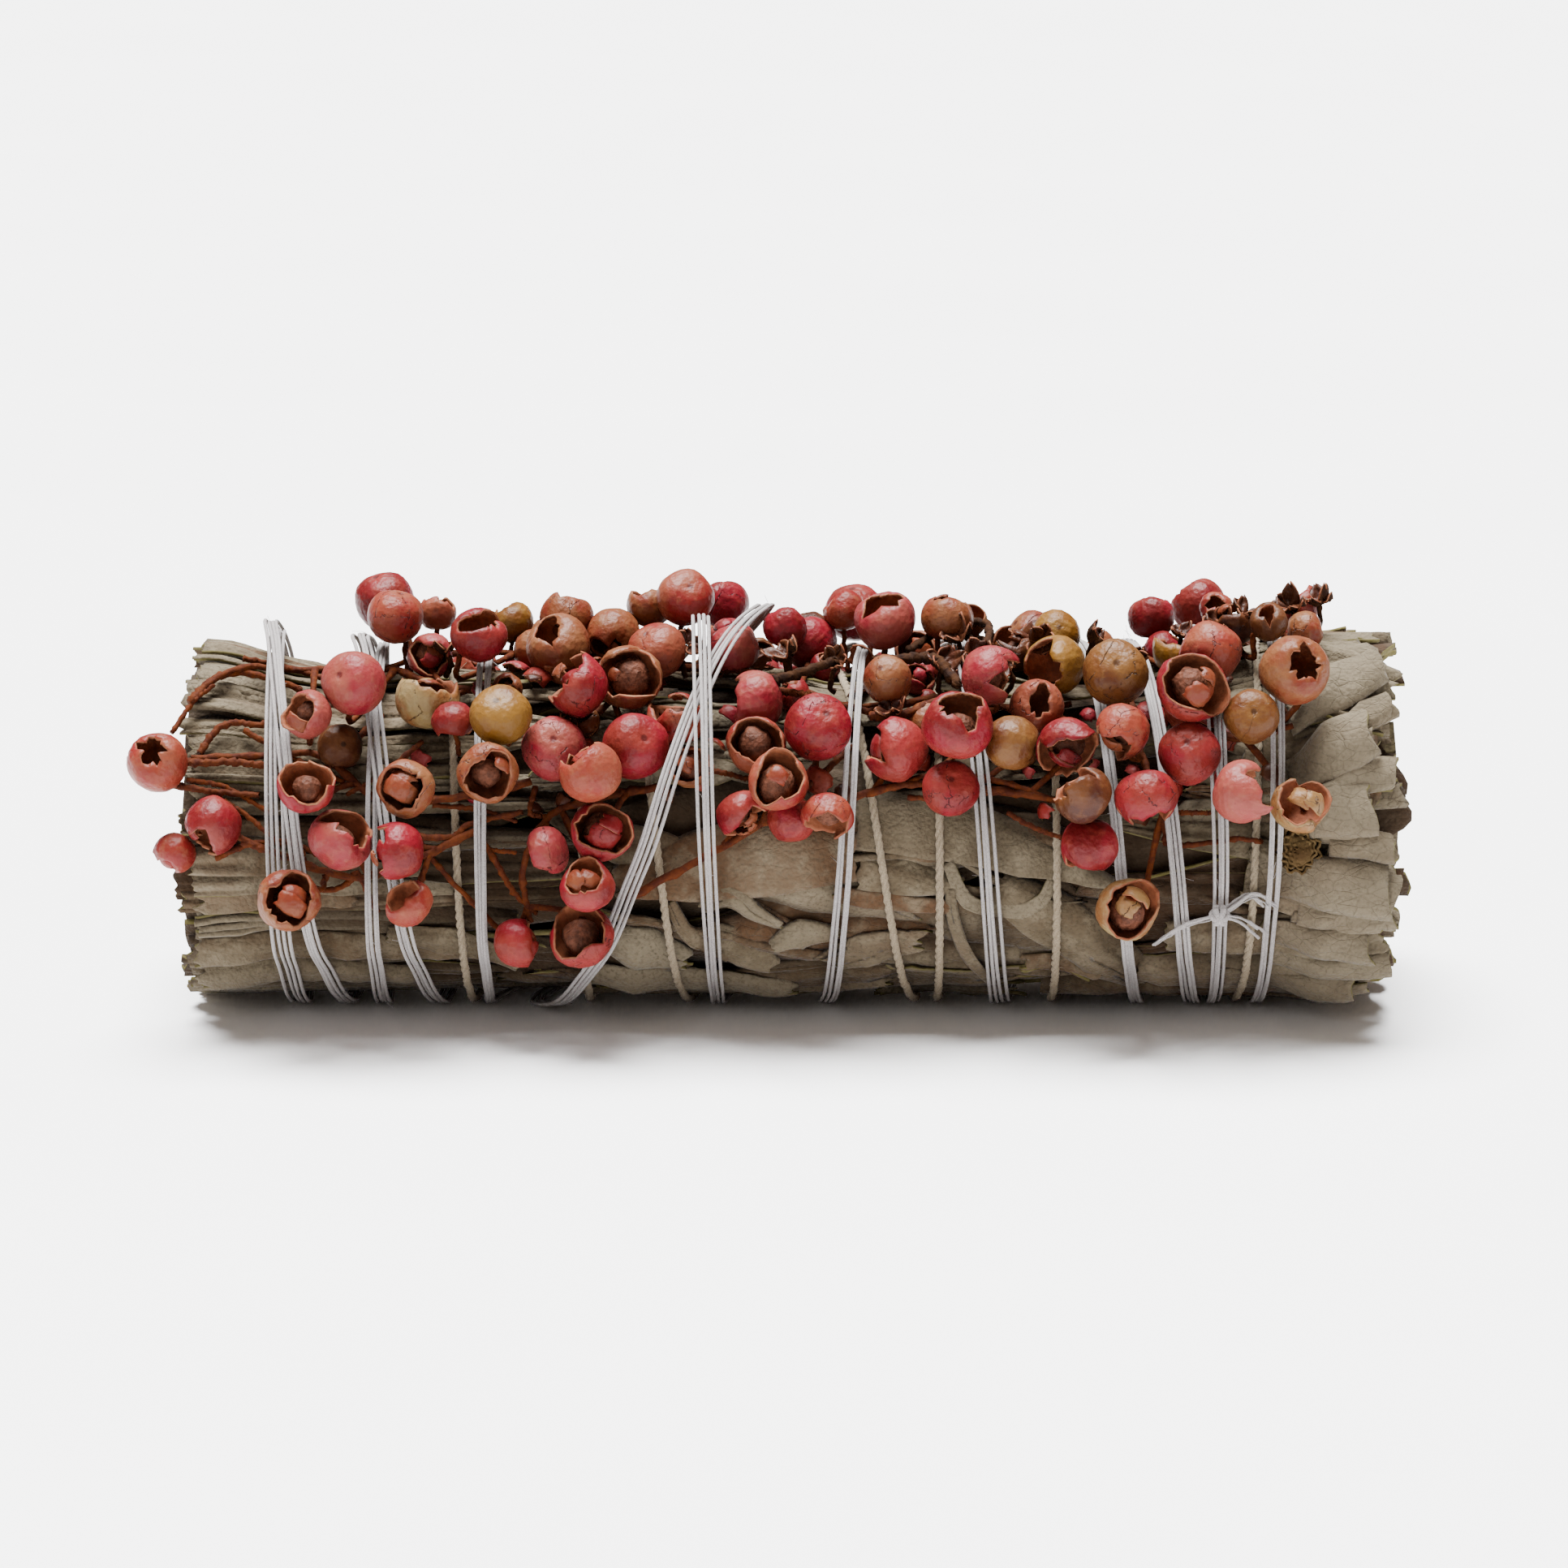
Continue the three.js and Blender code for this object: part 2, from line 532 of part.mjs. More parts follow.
// Each spray: where its main twig runs, root first, and its berries. A berry is the pixel of its
// middle, how high that lies over the leaves, its radius and, for a broken husk, the way it opens.
const SPRAYS = [
  {
    name: 'spray_low_left',
    twig: [[592, 1022], [520, 1052], [440, 1075], [350, 1050], [300, 1035]],
    berries: [
      [262, 1017, 2.75, 2.3, 'left down'], [356, 1109, 6.9, 2.5, 'front'],
      [420, 1033, 5.22, 2.6, 'front right up'], [487, 1048, 7.35, 2.3, 'left'],
      [501, 1111, 6.23, 2.1, 'front left up'],
    ],
  },
  {
    name: 'spray_left',
    twig: [[655, 965], [560, 985], [460, 985], [400, 935], [320, 940], [238, 944]],
    berries: [
      [194, 939, 2.9, 2.45], [377, 967, 7.24, 2.3, 'front up'], [500, 972, 6.24, 2.35, 'front'],
      [601, 952, 6.81, 2.45, 'front'],
    ],
  },
  {
    name: 'spray_upper_left',
    twig: [[640, 852], [560, 856], [470, 828], [370, 835], [290, 850], [236, 885]],
    berries: [
      [378, 880, 6.09, 2.0, 'front left'], [436, 842, 6.65, 2.6], [487, 759, 5.62, 2.35],
      [527, 859, 3.35, 2.6, 'up'], [617, 881, 6.34, 2.5], [530, 808, 2.85, 1.9, 'front'],
    ],
  },
  {
    name: 'spray_top_left',
    twig: [[812, 760], [760, 752], [680, 762], [600, 765], [545, 770]],
    berries: [
      [590, 782, 5.89, 2.35], [687, 796, 3.21, 2.7], [698, 761, 4.86, 2.2, 'up'],
      [756, 784, 3.56, 2.3, 'front down'], [539, 753, 5.31, 1.6, 'up'],
    ],
  },
  {
    name: 'spray_low_middle',
    twig: [[820, 972], [740, 985], [680, 1005], [645, 1070], [655, 1125]],
    berries: [
      [683, 923, 3.34, 2.6], [727, 950, 7.47, 2.5, 'left up'], [742, 1024, 5.28, 2.5, 'front'],
      [672, 1050, 3.01, 2.1, 'down left'], [723, 1091, 7.23, 2.2, 'front up'],
      [715, 1150, 5.41, 2.7, 'up front'], [639, 1161, 4.1, 2.0, 'right'],
    ],
  },
  {
    name: 'spray_middle',
    twig: [[960, 838], [880, 822], [800, 828], [740, 880], [700, 884]],
    berries: [
      [711, 845, 5.67, 2.5, 'left up'], [775, 835, 4.01, 2.7, 'front'], [809, 802, 3.79, 2.45],
      [783, 920, 4.52, 2.7], [834, 883, 2.95, 2.5, 'up'], [844, 736, 7.1, 2.4],
      [905, 801, 3.21, 2.1, 'down'],
    ],
  },
  {
    name: 'spray_long',
    twig: [[772, 1100], [870, 1052], [960, 1000], [1022, 950], [1050, 925]],
    berries: [
      [929, 863, 3.11, 2.5, 'left'], [932, 917, 3.58, 2.4, 'front'],
      [959, 962, 6.42, 2.5, 'front up'], [975, 1008, 2.45, 2.0, 'up'],
      [914, 1004, 3.73, 2.1, 'down right'], [1019, 1008, 5.6, 2.2, 'down'], [1007, 896, 5.14, 2.7],
    ],
  },
  {
    name: 'spray_low_right',
    twig: [[1052, 985], [1130, 968], [1225, 975], [1300, 988], [1360, 1000]],
    berries: [
      [1103, 924, 3.79, 2.6, 'left up'], [1180, 893, 7.73, 2.9, 'front up'], [1171, 971, 4.6, 2.3],
      [1247, 916, 5.29, 2.2, 'right'], [1315, 923, 3.84, 2.5, 'front down'],
      [1333, 978, 7.22, 2.3, 'left up'], [1342, 1042, 4.68, 2.3, 'down'],
    ],
  },
  {
    name: 'spray_right',
    twig: [[985, 852], [1070, 880], [1150, 862], [1230, 872], [1320, 868]],
    berries: [
      [998, 792, 3.06, 2.3], [1090, 764, 5.52, 2.6], [1094, 837, 4.4, 2.0],
      [1221, 832, 5.94, 2.4, 'right'], [1278, 870, 3.51, 2.2],
      [1299, 820, 3.88, 2.5, 'front left'], [1381, 903, 6.75, 2.3, 'down left'],
    ],
  },
  {
    name: 'spray_top_right',
    twig: [[1128, 792], [1170, 772], [1240, 765], [1330, 768], [1430, 775]],
    berries: [
      [1167, 760, 5.53, 2.2, 'up'], [1250, 798, 2.53, 2.0, 'up'], [1302, 781, 4.27, 2.0],
      [1374, 829, 6.14, 2.7], [1448, 801, 3.68, 1.9, 'up'],
    ],
  },
  {
    name: 'spray_hanging',
    twig: [[1392, 862], [1405, 930], [1430, 1000], [1436, 1040]],
    berries: [
      [1413, 985, 6.44, 2.6, 'down'], [1390, 1120, 6.06, 2.55, 'front'],
    ],
  },
  {
    name: 'spray_far_right',
    twig: [[1420, 850], [1480, 905], [1530, 925], [1590, 915]],
    berries: [
      [1470, 845, 8.21, 2.9, 'front'], [1466, 928, 5.28, 2.5], [1534, 976, 7.56, 2.5, 'right'],
      [1602, 991, 5.52, 2.4, 'front up'], [1542, 883, 5.5, 2.2], [1595, 826, 5.83, 2.8],
      [1492, 803, 6.3, 2.4, 'down left'],
    ],
  },
  {
    name: 'spray_last',
    twig: [[1450, 765], [1500, 765], [1560, 770], [1610, 785]],
    berries: [
      [1521, 766, 4.2, 1.9, 'up'], [1563, 766, 5.07, 1.6], [1609, 779, 3.0, 1.8, 'right'],
    ],
  },
];

// Sprays that hang over behind, out of the photograph's sight. Their places are given along the
// stick and in degrees round it.
const BACK_SPRAYS = [
  {
    name: 'spray_back_left',
    from: -35,
    to: 1,
    angle: 132,
    berries: [
      [-32.6, 119.9, 6.9, 2.49], [-25.52, 147.8, 5.38, 2.15, 'up'], [-18.35, 118.4, 3.29, 2.3],
      [-9.33, 149.3, 5.52, 2.4, 'right up'], [-4.39, 117.3, 6.58, 2.23, 'left up'],
    ],
  },
  {
    name: 'spray_back_right',
    from: 5,
    to: 39,
    angle: 136,
    berries: [
      [6.6, 121.7, 6.08, 2.5], [13.76, 152.6, 5.33, 2.59, 'up'], [21.37, 121.2, 3.66, 2.16],
      [27.99, 150.8, 5.33, 2.44, 'right up'], [35.37, 122.6, 5.98, 2.34, 'left up'],
    ],
  },
];

// A berry behind, by its place along the stick and degrees round it.
function backBerry([x, degrees, lift, radius, way]) {
  const angle = radians(degrees);
  return { centre: place(x, angle, leafReach(x, angle) + lift), radius, way };
}

const READING_ROUNDS = 4;

// A berry that shows at a pixel, at its height over the leaves. The height is taken at the berry
// itself, so its place is found in a few rounds.
function readBerry([px, py, lift, radius, way]) {
  let centre = seenAt([px, py], LEAF_REACH + lift);
  for (let round = 0; round < READING_ROUNDS; round++) {
    const p = placeOf(centre);
    centre = seenAt([px, py], leafReach(p.x, p.angle) + lift);
  }
  return { centre, radius, way };
}

// Runs a smooth line through a few places.
const TWIG_STEPS = 8;

function smoothRun(points) {
  return new THREE.CatmullRomCurve3(points, false, 'centripetal').getPoints(TWIG_STEPS);
}

// Moves a point straight out or in to the height over the leaves at which twigs run.
function onTwigs(point, lift = TWIG_LIFT) {
  const p = placeOf(point);
  return place(p.x, p.angle, leafReach(p.x, p.angle) + lift);
}

// A main twig through pixels of the photograph. It lies where the leaves are pressed in.
const TWIG_SINK = 1.5;

function readTwig(pixels) {
  const reach = LEAF_REACH + TWIG_LIFT - TWIG_SINK;
  const places = pixels.map((pixel) => onTwigs(seenAt(pixel, reach)));
  return smoothRun(places).map((point) => onTwigs(point));
}

// A main twig behind, with a slight zigzag.
const ZIGZAG_DEGREES = 3;

function backTwig(spray) {
  const places = [0, 0.33, 0.66, 1].map((share, i) => {
    const x = spray.from + (spray.to - spray.from) * share;
    return place(x, radians(spray.angle + ZIGZAG_DEGREES * (i % 2)), LEAF_REACH);
  });
  return smoothRun(places).map((point) => onTwigs(point));
}

function nearestOnLine(point, line) {
  let nearest = null;
  let least = Infinity;
  for (let i = 0; i < line.length - 1; i++) {
    const on = new THREE.Line3(line[i], line[i + 1])
      .closestPointToPoint(point, true, new THREE.Vector3());
    const distance = on.distanceTo(point);
    if (distance < least) {
      nearest = on;
      least = distance;
    }
  }
  return nearest;
}

// Straight out of the bunch at a point.
function outOf(point) {
  const p = placeOf(point);
  return place(p.x, p.angle, p.reach + 1).sub(point);
}

// The part of a direction that lies flat on the leaves at a point.
function asideOf(direction, point) {
  const out = outOf(point);
  return direction.clone().addScaledVector(out, -direction.dot(out));
}

// The nearest place to a point along the stick, on either side, that lies this far beside a line.
function beside(point, line, apart) {
  for (let step = 0; step < SIDE_STEPS; step++) {
    for (const way of [1, -1]) {
      const tried = onTwigs(point.clone().setX(point.x + way * step * SIDE_STEP));
      const away = asideOf(tried.clone().sub(nearestOnLine(tried, line)), tried);
      if (away.length() >= apart) return tried;
    }
  }
  return point;
}

// The way a berry's top points: out of a broken husk, or out of the bunch with a lean to one side.
function topOf(berry, random) {
  if (berry.way) return openingOf(berry.way);
  const lean = new THREE.Vector3(random() - 0.5, 0, 0);
  return outOf(berry.centre).lerp(lean, 0.4).normalize();
}

// A ball of rings round an axis, whole or broken open at the top.
function berryGeometry(berry, random) {
  const { centre, radius, way } = berry;
  const axis = topOf(berry, random);
  const across = new THREE.Vector3(0.2, 0.3, 0.9).cross(axis).normalize();
  const aside = new THREE.Vector3().crossVectors(axis, across);
  const ring = (latitude, size, jag = 0) => Array.from({ length: BERRY_SIDES }, (_, j) => {
    const turn = (2 * PI * j) / BERRY_SIDES;
    const lean = radians(latitude) + jag * (j % 2 ? 1 : -1) * (0.6 + 0.4 * sin(5 * j));
    return centre.clone().addScaledVector(axis, size * sin(lean))
      .addScaledVector(across, size * cos(lean) * cos(turn))
      .addScaledVector(aside, size * cos(lean) * sin(turn));
  });
  const pole = (share) => centre.clone().addScaledVector(axis, radius * share);
  const lower = [ring(-SHOULDER_LATITUDE, radius), ring(0, radius)];
  if (!way) return skin([...lower, ring(SHOULDER_LATITUDE, radius)], pole(-1), pole(NAVEL_SHARE));
  const jag = radians(RIM_JAG_DEGREES);
  const outerRim = ring(RIM_LATITUDE, radius, jag);
  const innerRim = ring(RIM_LATITUDE, radius - HUSK_THICK, jag);
  return skin([...lower, outerRim, innerRim], pole(-1), pole(HOLLOW_SHARE));
}

// A twig from the main twig, along the leaves, past the string and up into its berry. Where the
// berry hangs high, the twig first rises beside the string.
function twigletPoints(spray, berry, stringLine) {
  const under = onTwigs(berry.centre);
  const near = nearestOnLine(under, spray.line);
  const root = spray.line[0];
  const back = min(BRANCH_BACK, near.distanceTo(root) * 0.6);
  const towardsRoot = near.clone().addScaledVector(root.clone().sub(near).normalize(), back);
  const foot = nearestOnLine(towardsRoot, spray.line);
  const elbow = beside(under, stringLine, STRING_WIDTH / 2 + TWIG_RADIUS + ELBOW_GAP);
  const p = placeOf(berry.centre);
  const isHigh = p.reach - leafReach(p.x, p.angle) > SHOULDER_LIFT + 1;
  const shoulder = isHigh ? [onTwigs(elbow, SHOULDER_LIFT)] : [];
  const inside = berry.way ? openingOf(berry.way).multiplyScalar(-0.65 * berry.radius)
    : elbow.clone().sub(berry.centre).setLength(0.5 * berry.radius);
  return [foot, elbow, ...shoulder, berry.centre.clone().add(inside)];
}

// A spray: its main twig, thinner towards the tip, and a side twig and berry for each berry read.
function sprayGeometry(spray, seed, stringLine) {
  const random = numbersFrom(seed);
  const radii = spray.line.map((_, i) => TWIG_RADIUS * (1.25 - (0.4 * i) / spray.line.length));
  const parts = [bar(spray.line, radii, TWIG_SIDES)];
  for (const berry of spray.berries) {
    const points = twigletPoints(spray, berry, stringLine);
    parts.push(bar(points, points.map(() => TWIG_RADIUS * 0.9), TWIG_SIDES));
    parts.push(berryGeometry(berry, random));
  }
  return fuse(parts);
}

// The whole stick

function finish(color, roughness) {
  return new THREE.MeshStandardMaterial({ color, roughness, metalness: 0 });
}

const FINISHES = {
  sage: finish(0xa39f86, 0.95),
  inner: finish(0x8a8061, 0.95),
  pepper: finish(0xb8524f, 0.55),
  string: finish(0xe2dad4, 0.9),
  cord: finish(0xcfc2a4, 0.9),
};

const stick = new THREE.Group();

function add(name, geometry, kind) {
  const mesh = new THREE.Mesh(geometry, FINISHES[kind]);
  mesh.name = name;
  stick.add(mesh);
}

add('sage_inner_bunch', innerBunchGeometry(), 'inner');
const leafRandom = numbersFrom(23);
for (const ring of LEAF_RINGS) {
  for (let column = 0; column < LEAF_COLUMNS; column++) {
    add(`sage_leaf_${ring.name}_${column + 1}`, leafGeometry(ring, column, leafRandom), 'sage');
  }
}

const cord = cordPlaces();
const string = stringPlaces(cord);
add('cream_cord', bandGeometry(cord, CORD_THICK, CORD_THICK), 'cord');
const band = bandGeometry(string, STRING_WIDTH, STRING_THICK);
add('white_string', fuse([band, ...knotGeometries()]), 'string');

const frontSprays = SPRAYS.map(({ name, twig, berries }) => (
  { name, line: readTwig(twig), berries: berries.map(readBerry) }));
const backSprays = BACK_SPRAYS.map((spray) => (
  { name: spray.name, line: backTwig(spray), berries: spray.berries.map(backBerry) }));
const stringLine = string.map((p) => place(p.x, p.angle, p.reach));
[...frontSprays, ...backSprays].forEach((spray, k) => {
  add(spray.name, sprayGeometry(spray, 100 + k, stringLine), 'pepper');
});

export default stick;
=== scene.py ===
"""A white sage smudge stick, dressed: dried leaves, sprays of pink pepper husks, string and cord."""

import math
from collections import namedtuple

import bpy
import numpy as np
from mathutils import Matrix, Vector


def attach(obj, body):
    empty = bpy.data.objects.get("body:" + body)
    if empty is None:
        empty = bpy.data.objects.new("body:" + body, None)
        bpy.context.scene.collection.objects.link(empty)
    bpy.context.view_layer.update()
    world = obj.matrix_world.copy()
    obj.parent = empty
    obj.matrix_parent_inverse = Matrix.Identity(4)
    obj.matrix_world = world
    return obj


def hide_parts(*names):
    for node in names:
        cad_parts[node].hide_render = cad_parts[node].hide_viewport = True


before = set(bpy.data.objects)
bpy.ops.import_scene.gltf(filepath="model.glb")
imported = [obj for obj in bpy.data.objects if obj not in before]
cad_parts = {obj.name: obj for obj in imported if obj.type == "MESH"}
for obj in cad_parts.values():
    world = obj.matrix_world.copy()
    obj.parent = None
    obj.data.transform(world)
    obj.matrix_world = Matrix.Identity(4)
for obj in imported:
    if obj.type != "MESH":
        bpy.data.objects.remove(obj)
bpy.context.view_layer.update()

bl_info = {
    "name": "Sage Smudge Stick",
    "version": (1, 0, 0),
    "blender": (4, 5, 0),
    "location": "View3D > Sidebar > Smudge Stick",
    "description": "Builds a bound bundle of dried sage with sprays of pink pepper berries",
    "category": "Add Mesh",
}

# Lengths are in millimetres in the stick's own frame. Meshes are made in metres.
MM = 0.001

# The bunch, as in its solids: its ends and axis, how its leaves overlap, its ties and twigs.
BUNCH_LEFT = -48.0
BUNCH_RIGHT = 51.6
AXIS_Y = 1.8
LEAF_REACH = 13.4
TIE_ROOM = 1.1
AXIS_Z = LEAF_REACH + TIE_ROOM
LEAF_COLUMNS = 8
STEP_ACROSS = 1.2
STEP_ALONG = 1.35
LEAF_SHARE = 0.7
LEAF_LENGTH = 43.0
STRING_WIDTH = 1.4
STRING_THICK = 0.4
CORD_THICK = 0.7
TURN_STEPS = 18
TWIG_RADIUS = 0.3
TWIG_LIFT = TIE_ROOM + 0.7
STRING_OVER_TWIGS = 1.8
# The least gap between ties where one crosses another.
GAP = 0.3

# The photograph's viewpoint. Places read from it below are its pixels.
PICTURE_SIDE = 1932
PICTURE_MIDDLE = PICTURE_SIDE / 2
EYE_DISTANCE = 500.0
EYE_ELEVATION = math.radians(14)
PIXELS_PER_MM = 14.9
AXIS_PIXEL = (955, 1018)
SEEN_FROM = np.array([0, -math.cos(EYE_ELEVATION), math.sin(EYE_ELEVATION)])
PICTURE_UP = np.array([0, math.sin(EYE_ELEVATION), math.cos(EYE_ELEVATION)])
PICTURE_RIGHT = np.array([1.0, 0, 0])
AIM = (np.array([0, AXIS_Y, AXIS_Z])
       + PICTURE_RIGHT * (PICTURE_MIDDLE - AXIS_PIXEL[0]) / PIXELS_PER_MM
       + PICTURE_UP * (AXIS_PIXEL[1] - PICTURE_MIDDLE) / PIXELS_PER_MM)
EYE = AIM + SEEN_FROM * EYE_DISTANCE


# Places on the bunch

def smooth(low, high, value):
    """The smooth step from 0 at low to 1 at high."""
    share = np.clip((value - low) / (high - low), 0, 1)
    return share * share * (3 - 2 * share)


def turn_between(a, b):
    return np.arctan2(np.sin(a - b), np.cos(a - b))


def place(x, angle, reach):
    """Points by place along the stick, angle round its axis (0 in front, a quarter turn up) and reach."""
    x, angle, reach = np.broadcast_arrays(x, angle, reach)
    return np.stack([x, AXIS_Y - reach * np.cos(angle), AXIS_Z + reach * np.sin(angle)], -1)


def place_of(point):
    """The place along, angle and reach of a point."""
    back, up = point[1] - AXIS_Y, point[2] - AXIS_Z
    return point[0], math.atan2(up, -back), math.hypot(back, up)


def seen_at(pixel, reach):
    """Where the sight line through a pixel meets the tube of that reach, or passes nearest its axis."""
    ray = (-SEEN_FROM * EYE_DISTANCE + PICTURE_RIGHT * (pixel[0] - PICTURE_MIDDLE) / PIXELS_PER_MM
           + PICTURE_UP * (PICTURE_MIDDLE - pixel[1]) / PIXELS_PER_MM)
    from_y, from_z = EYE[1] - AXIS_Y, EYE[2] - AXIS_Z
    square = ray[1] ** 2 + ray[2] ** 2
    half = from_y * ray[1] + from_z * ray[2]
    rest = half * half - square * (from_y ** 2 + from_z ** 2 - reach ** 2)
    return EYE + ray * ((-half - math.sqrt(max(rest, 0))) / square)


def leaf_reach(x, angle):
    """How far the leaves reach from the axis, as in the solids."""
    along = smooth(-46, -35, x) * (1 - smooth(29, 43, x))
    turned = np.abs(turn_between(angle, math.radians(75)))
    pressed = np.cos(np.minimum(math.pi / 2, turned * 0.9)) ** 2
    up = np.maximum(0, np.sin(angle)) ** 2
    fuller = 2.2 * smooth(25, 45, x) * up + 1.2 * (1 - smooth(-46, -35, x)) * up
    waves = 0.2 * np.sin(3 * angle + 0.11 * x) + 0.14 * np.sin(2 * angle - 0.17 * x + 1)
    return LEAF_REACH - 1.3 * pressed * along + fuller + waves * smooth(-0.9, -0.2, np.sin(angle))


def over_leaves(x, angle, lift):
    """The point at this height over the leaves."""
    return place(x, angle, float(leaf_reach(x, angle)) + lift)


def ground_reach(angle):
    """How far from the axis the ground lies, in the lower half of the turn."""
    return AXIS_Z / np.maximum(-np.sin(angle), 0.05)


def tie_reach(x, angle):
    """How far a tie round the leaves reaches. It is flat where the stick rests."""
    down = -math.sin(angle)
    if down > math.cos(math.radians(12)):
        return AXIS_Z / down
    return float(leaf_reach(x, angle)) + TIE_ROOM


# How low round the bunch the sprays hang, in degrees, by the place along it.
SPRAY_EDGE = [(-14, -26), (-9, -8), (0, -6), (3, 6), (20, 6), (24, -24), (33, -24), (38, 6)]
SPRAY_BACK_EDGE = 154
# Over how many degrees they thin out.
EDGE_WIDTH = 16


def under_sprays(x, angle):
    """One where the sprays lie, nought elsewhere."""
    middle = math.radians(64)
    turned = math.degrees(middle + float(turn_between(angle, middle)))
    low = np.interp(x, *zip(*SPRAY_EDGE))
    in_front = smooth(low - EDGE_WIDTH, low, turned)
    return float(in_front * (1 - smooth(SPRAY_BACK_EDGE, SPRAY_BACK_EDGE + EDGE_WIDTH, turned)))


def wavered(x, angle):
    """The drift and waver of the leaves' rows round the bunch."""
    return angle + 0.0045 * x + 0.09 * np.sin(0.075 * x + 2 * angle) + 0.04 * np.sin(0.16 * x + angle)


def ripple(x, y, z, scale, seed):
    """A smooth uneven field from -1 to 1, made of a few sines."""
    x, y, z = x / scale, y / scale, z / scale
    total = 0
    for k in range(4):
        turn = seed * 1.7 + k * 2.4
        total = total + np.sin(x * math.cos(turn) * (1 + 0.4 * k) + y * math.sin(turn) * (1.3 + 0.3 * k)
                               + z * math.cos(2 * turn) + seed * (k + 1) * 3.1)
    return total / 4


def teeth_along(s, seed):
    """A ragged edge, from -1 to 1 at places s along it."""
    return ripple(s, 0 * s, 0 * s, 1.0, seed)


class Numbers:
    """A repeatable run of numbers from 0 to 1, the same one as in the solids."""

    def __init__(self, seed):
        self.state = seed

    def __call__(self):
        self.state = (self.state * 16807) % 2147483647
        return self.state / 2147483647

    def between(self, low, high):
        return low + (high - low) * self()


# Mesh making

class Heap:
    """Collects sheets, rods and shells, and makes one mesh object of them.

    tint is one number a part. lay is three numbers at each point: across and along a sheet and, on a leaf,
    its height over the bunch, which sets the leaf's painted shade and painted light;
    or the turn (cosine and sine) and the length along a rod.
    """

    def __init__(self):
        self.points, self.faces, self.slots, self.tints, self.lays = [], [], [], [], []
        self.count = 0

    def add(self, points, faces, slot, tint, lay=None):
        points = np.asarray(points, float).reshape(-1, 3)
        self.points.append(points)
        self.faces.extend(tuple(self.count + i for i in face) for face in faces)
        self.slots.extend([slot] * len(faces) if np.isscalar(slot) else slot)
        self.tints.append(np.full(len(points), tint, float))
        self.lays.append(np.zeros((len(points), 3)) if lay is None else np.asarray(lay, float).reshape(-1, 3))
        self.count += len(points)

    def make(self, name, materials, nodes=(), slot=None):
        mesh = bpy.data.meshes.new(name)
        mesh.from_pydata((np.concatenate(self.points) * MM).tolist(), [], self.faces)
        for material in materials:
            mesh.materials.append(material)
        mesh.polygons.foreach_set("material_index", self.slots)
        mesh.polygons.foreach_set("use_smooth", [True] * len(self.faces))
        tint = mesh.attributes.new("tint", "FLOAT", "POINT")
        tint.data.foreach_set("value", np.concatenate(self.tints).astype(np.float32))
        lay = mesh.attributes.new("lay", "FLOAT_VECTOR", "POINT")
        lay.data.foreach_set("vector", np.concatenate(self.lays).astype(np.float32).ravel())
        mesh.update()
        piece = bpy.data.objects.new(name, mesh)
        bpy.context.scene.collection.objects.link(piece)
        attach(piece, "root")
        if nodes:
            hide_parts(*nodes)
        return piece


def grid_shares(rows, columns, low=0):
    """The shares of a grid, down its rows from low to 1 and over its columns from -1 to 1."""
    return np.linspace(low, 1, rows)[:, None], np.linspace(-1, 1, columns)[None]


def grid_faces(rows, columns, start=0, flip=False, closed=False):
    """The quads of a grid of points. A closed grid joins its last column to its first."""
    faces = []
    for i in range(rows - 1):
        for j in range(columns if closed else columns - 1):
            k = (j + 1) % columns
            a, b = start + i * columns + j, start + i * columns + k
            quad = (a, b, b + columns, a + columns)
            faces.append(quad[::-1] if flip else quad)
    return faces


def grid_normals(points):
    """The unit normal at each point of a grid of points, out of the bunch."""
    normal = np.cross(np.gradient(points, axis=0), np.gradient(points, axis=1))
    return normal / np.maximum(np.linalg.norm(normal, axis=-1, keepdims=True), 1e-9)


def add_sheet(heap, points, thick, slots, tint, lay=None):
    """A sheet of even thickness over a grid of points: its outer face, its inner face and its edge."""
    rows, columns = points.shape[:2]
    half = grid_normals(points) * thick / 2
    count = rows * columns
    faces = grid_faces(rows, columns, flip=True) + grid_faces(rows, columns, count)
    slot_list = [slots[0]] * ((rows - 1) * (columns - 1)) + [slots[1]] * ((rows - 1) * (columns - 1))
    rim = ([(0, j) for j in range(columns)] + [(i, columns - 1) for i in range(1, rows)]
           + [(rows - 1, j) for j in range(columns - 2, -1, -1)] + [(i, 0) for i in range(rows - 2, 0, -1)])
    ring = [i * columns + j for i, j in rim]
    for a, b in zip(ring, ring[1:] + ring[:1]):
        faces.append((a, b, b + count, a + count))
        slot_list.append(slots[2])
    if lay is None:
        along = lengths_along(points[:, columns // 2])
        lay = np.stack(np.broadcast_arrays(np.linspace(-1, 1, columns)[None], along[:, None], 0.0), -1)
    lay = np.asarray(lay).reshape(-1, 3)
    heap.add(np.concatenate([(points + half).reshape(-1, 3), (points - half).reshape(-1, 3)]), faces,
             slot_list, tint, np.concatenate([lay, lay]))


def lengths_along(line):
    """How far along a line each of its points lies."""
    return np.concatenate([[0], np.cumsum(np.linalg.norm(np.diff(line, axis=0), axis=1))])


def frames_along(line):
    """Two unit vectors across each point of a line, carried along without twisting."""
    ahead = np.gradient(line, axis=0)
    ahead /= np.maximum(np.linalg.norm(ahead, axis=1, keepdims=True), 1e-9)
    across = np.array([0.31, 0.17, 0.93])
    sides = []
    for direction in ahead:
        across = across - direction * across.dot(direction)
        across = across / np.linalg.norm(across)
        sides.append(across)
    sides = np.array(sides)
    return sides, np.cross(ahead, sides)


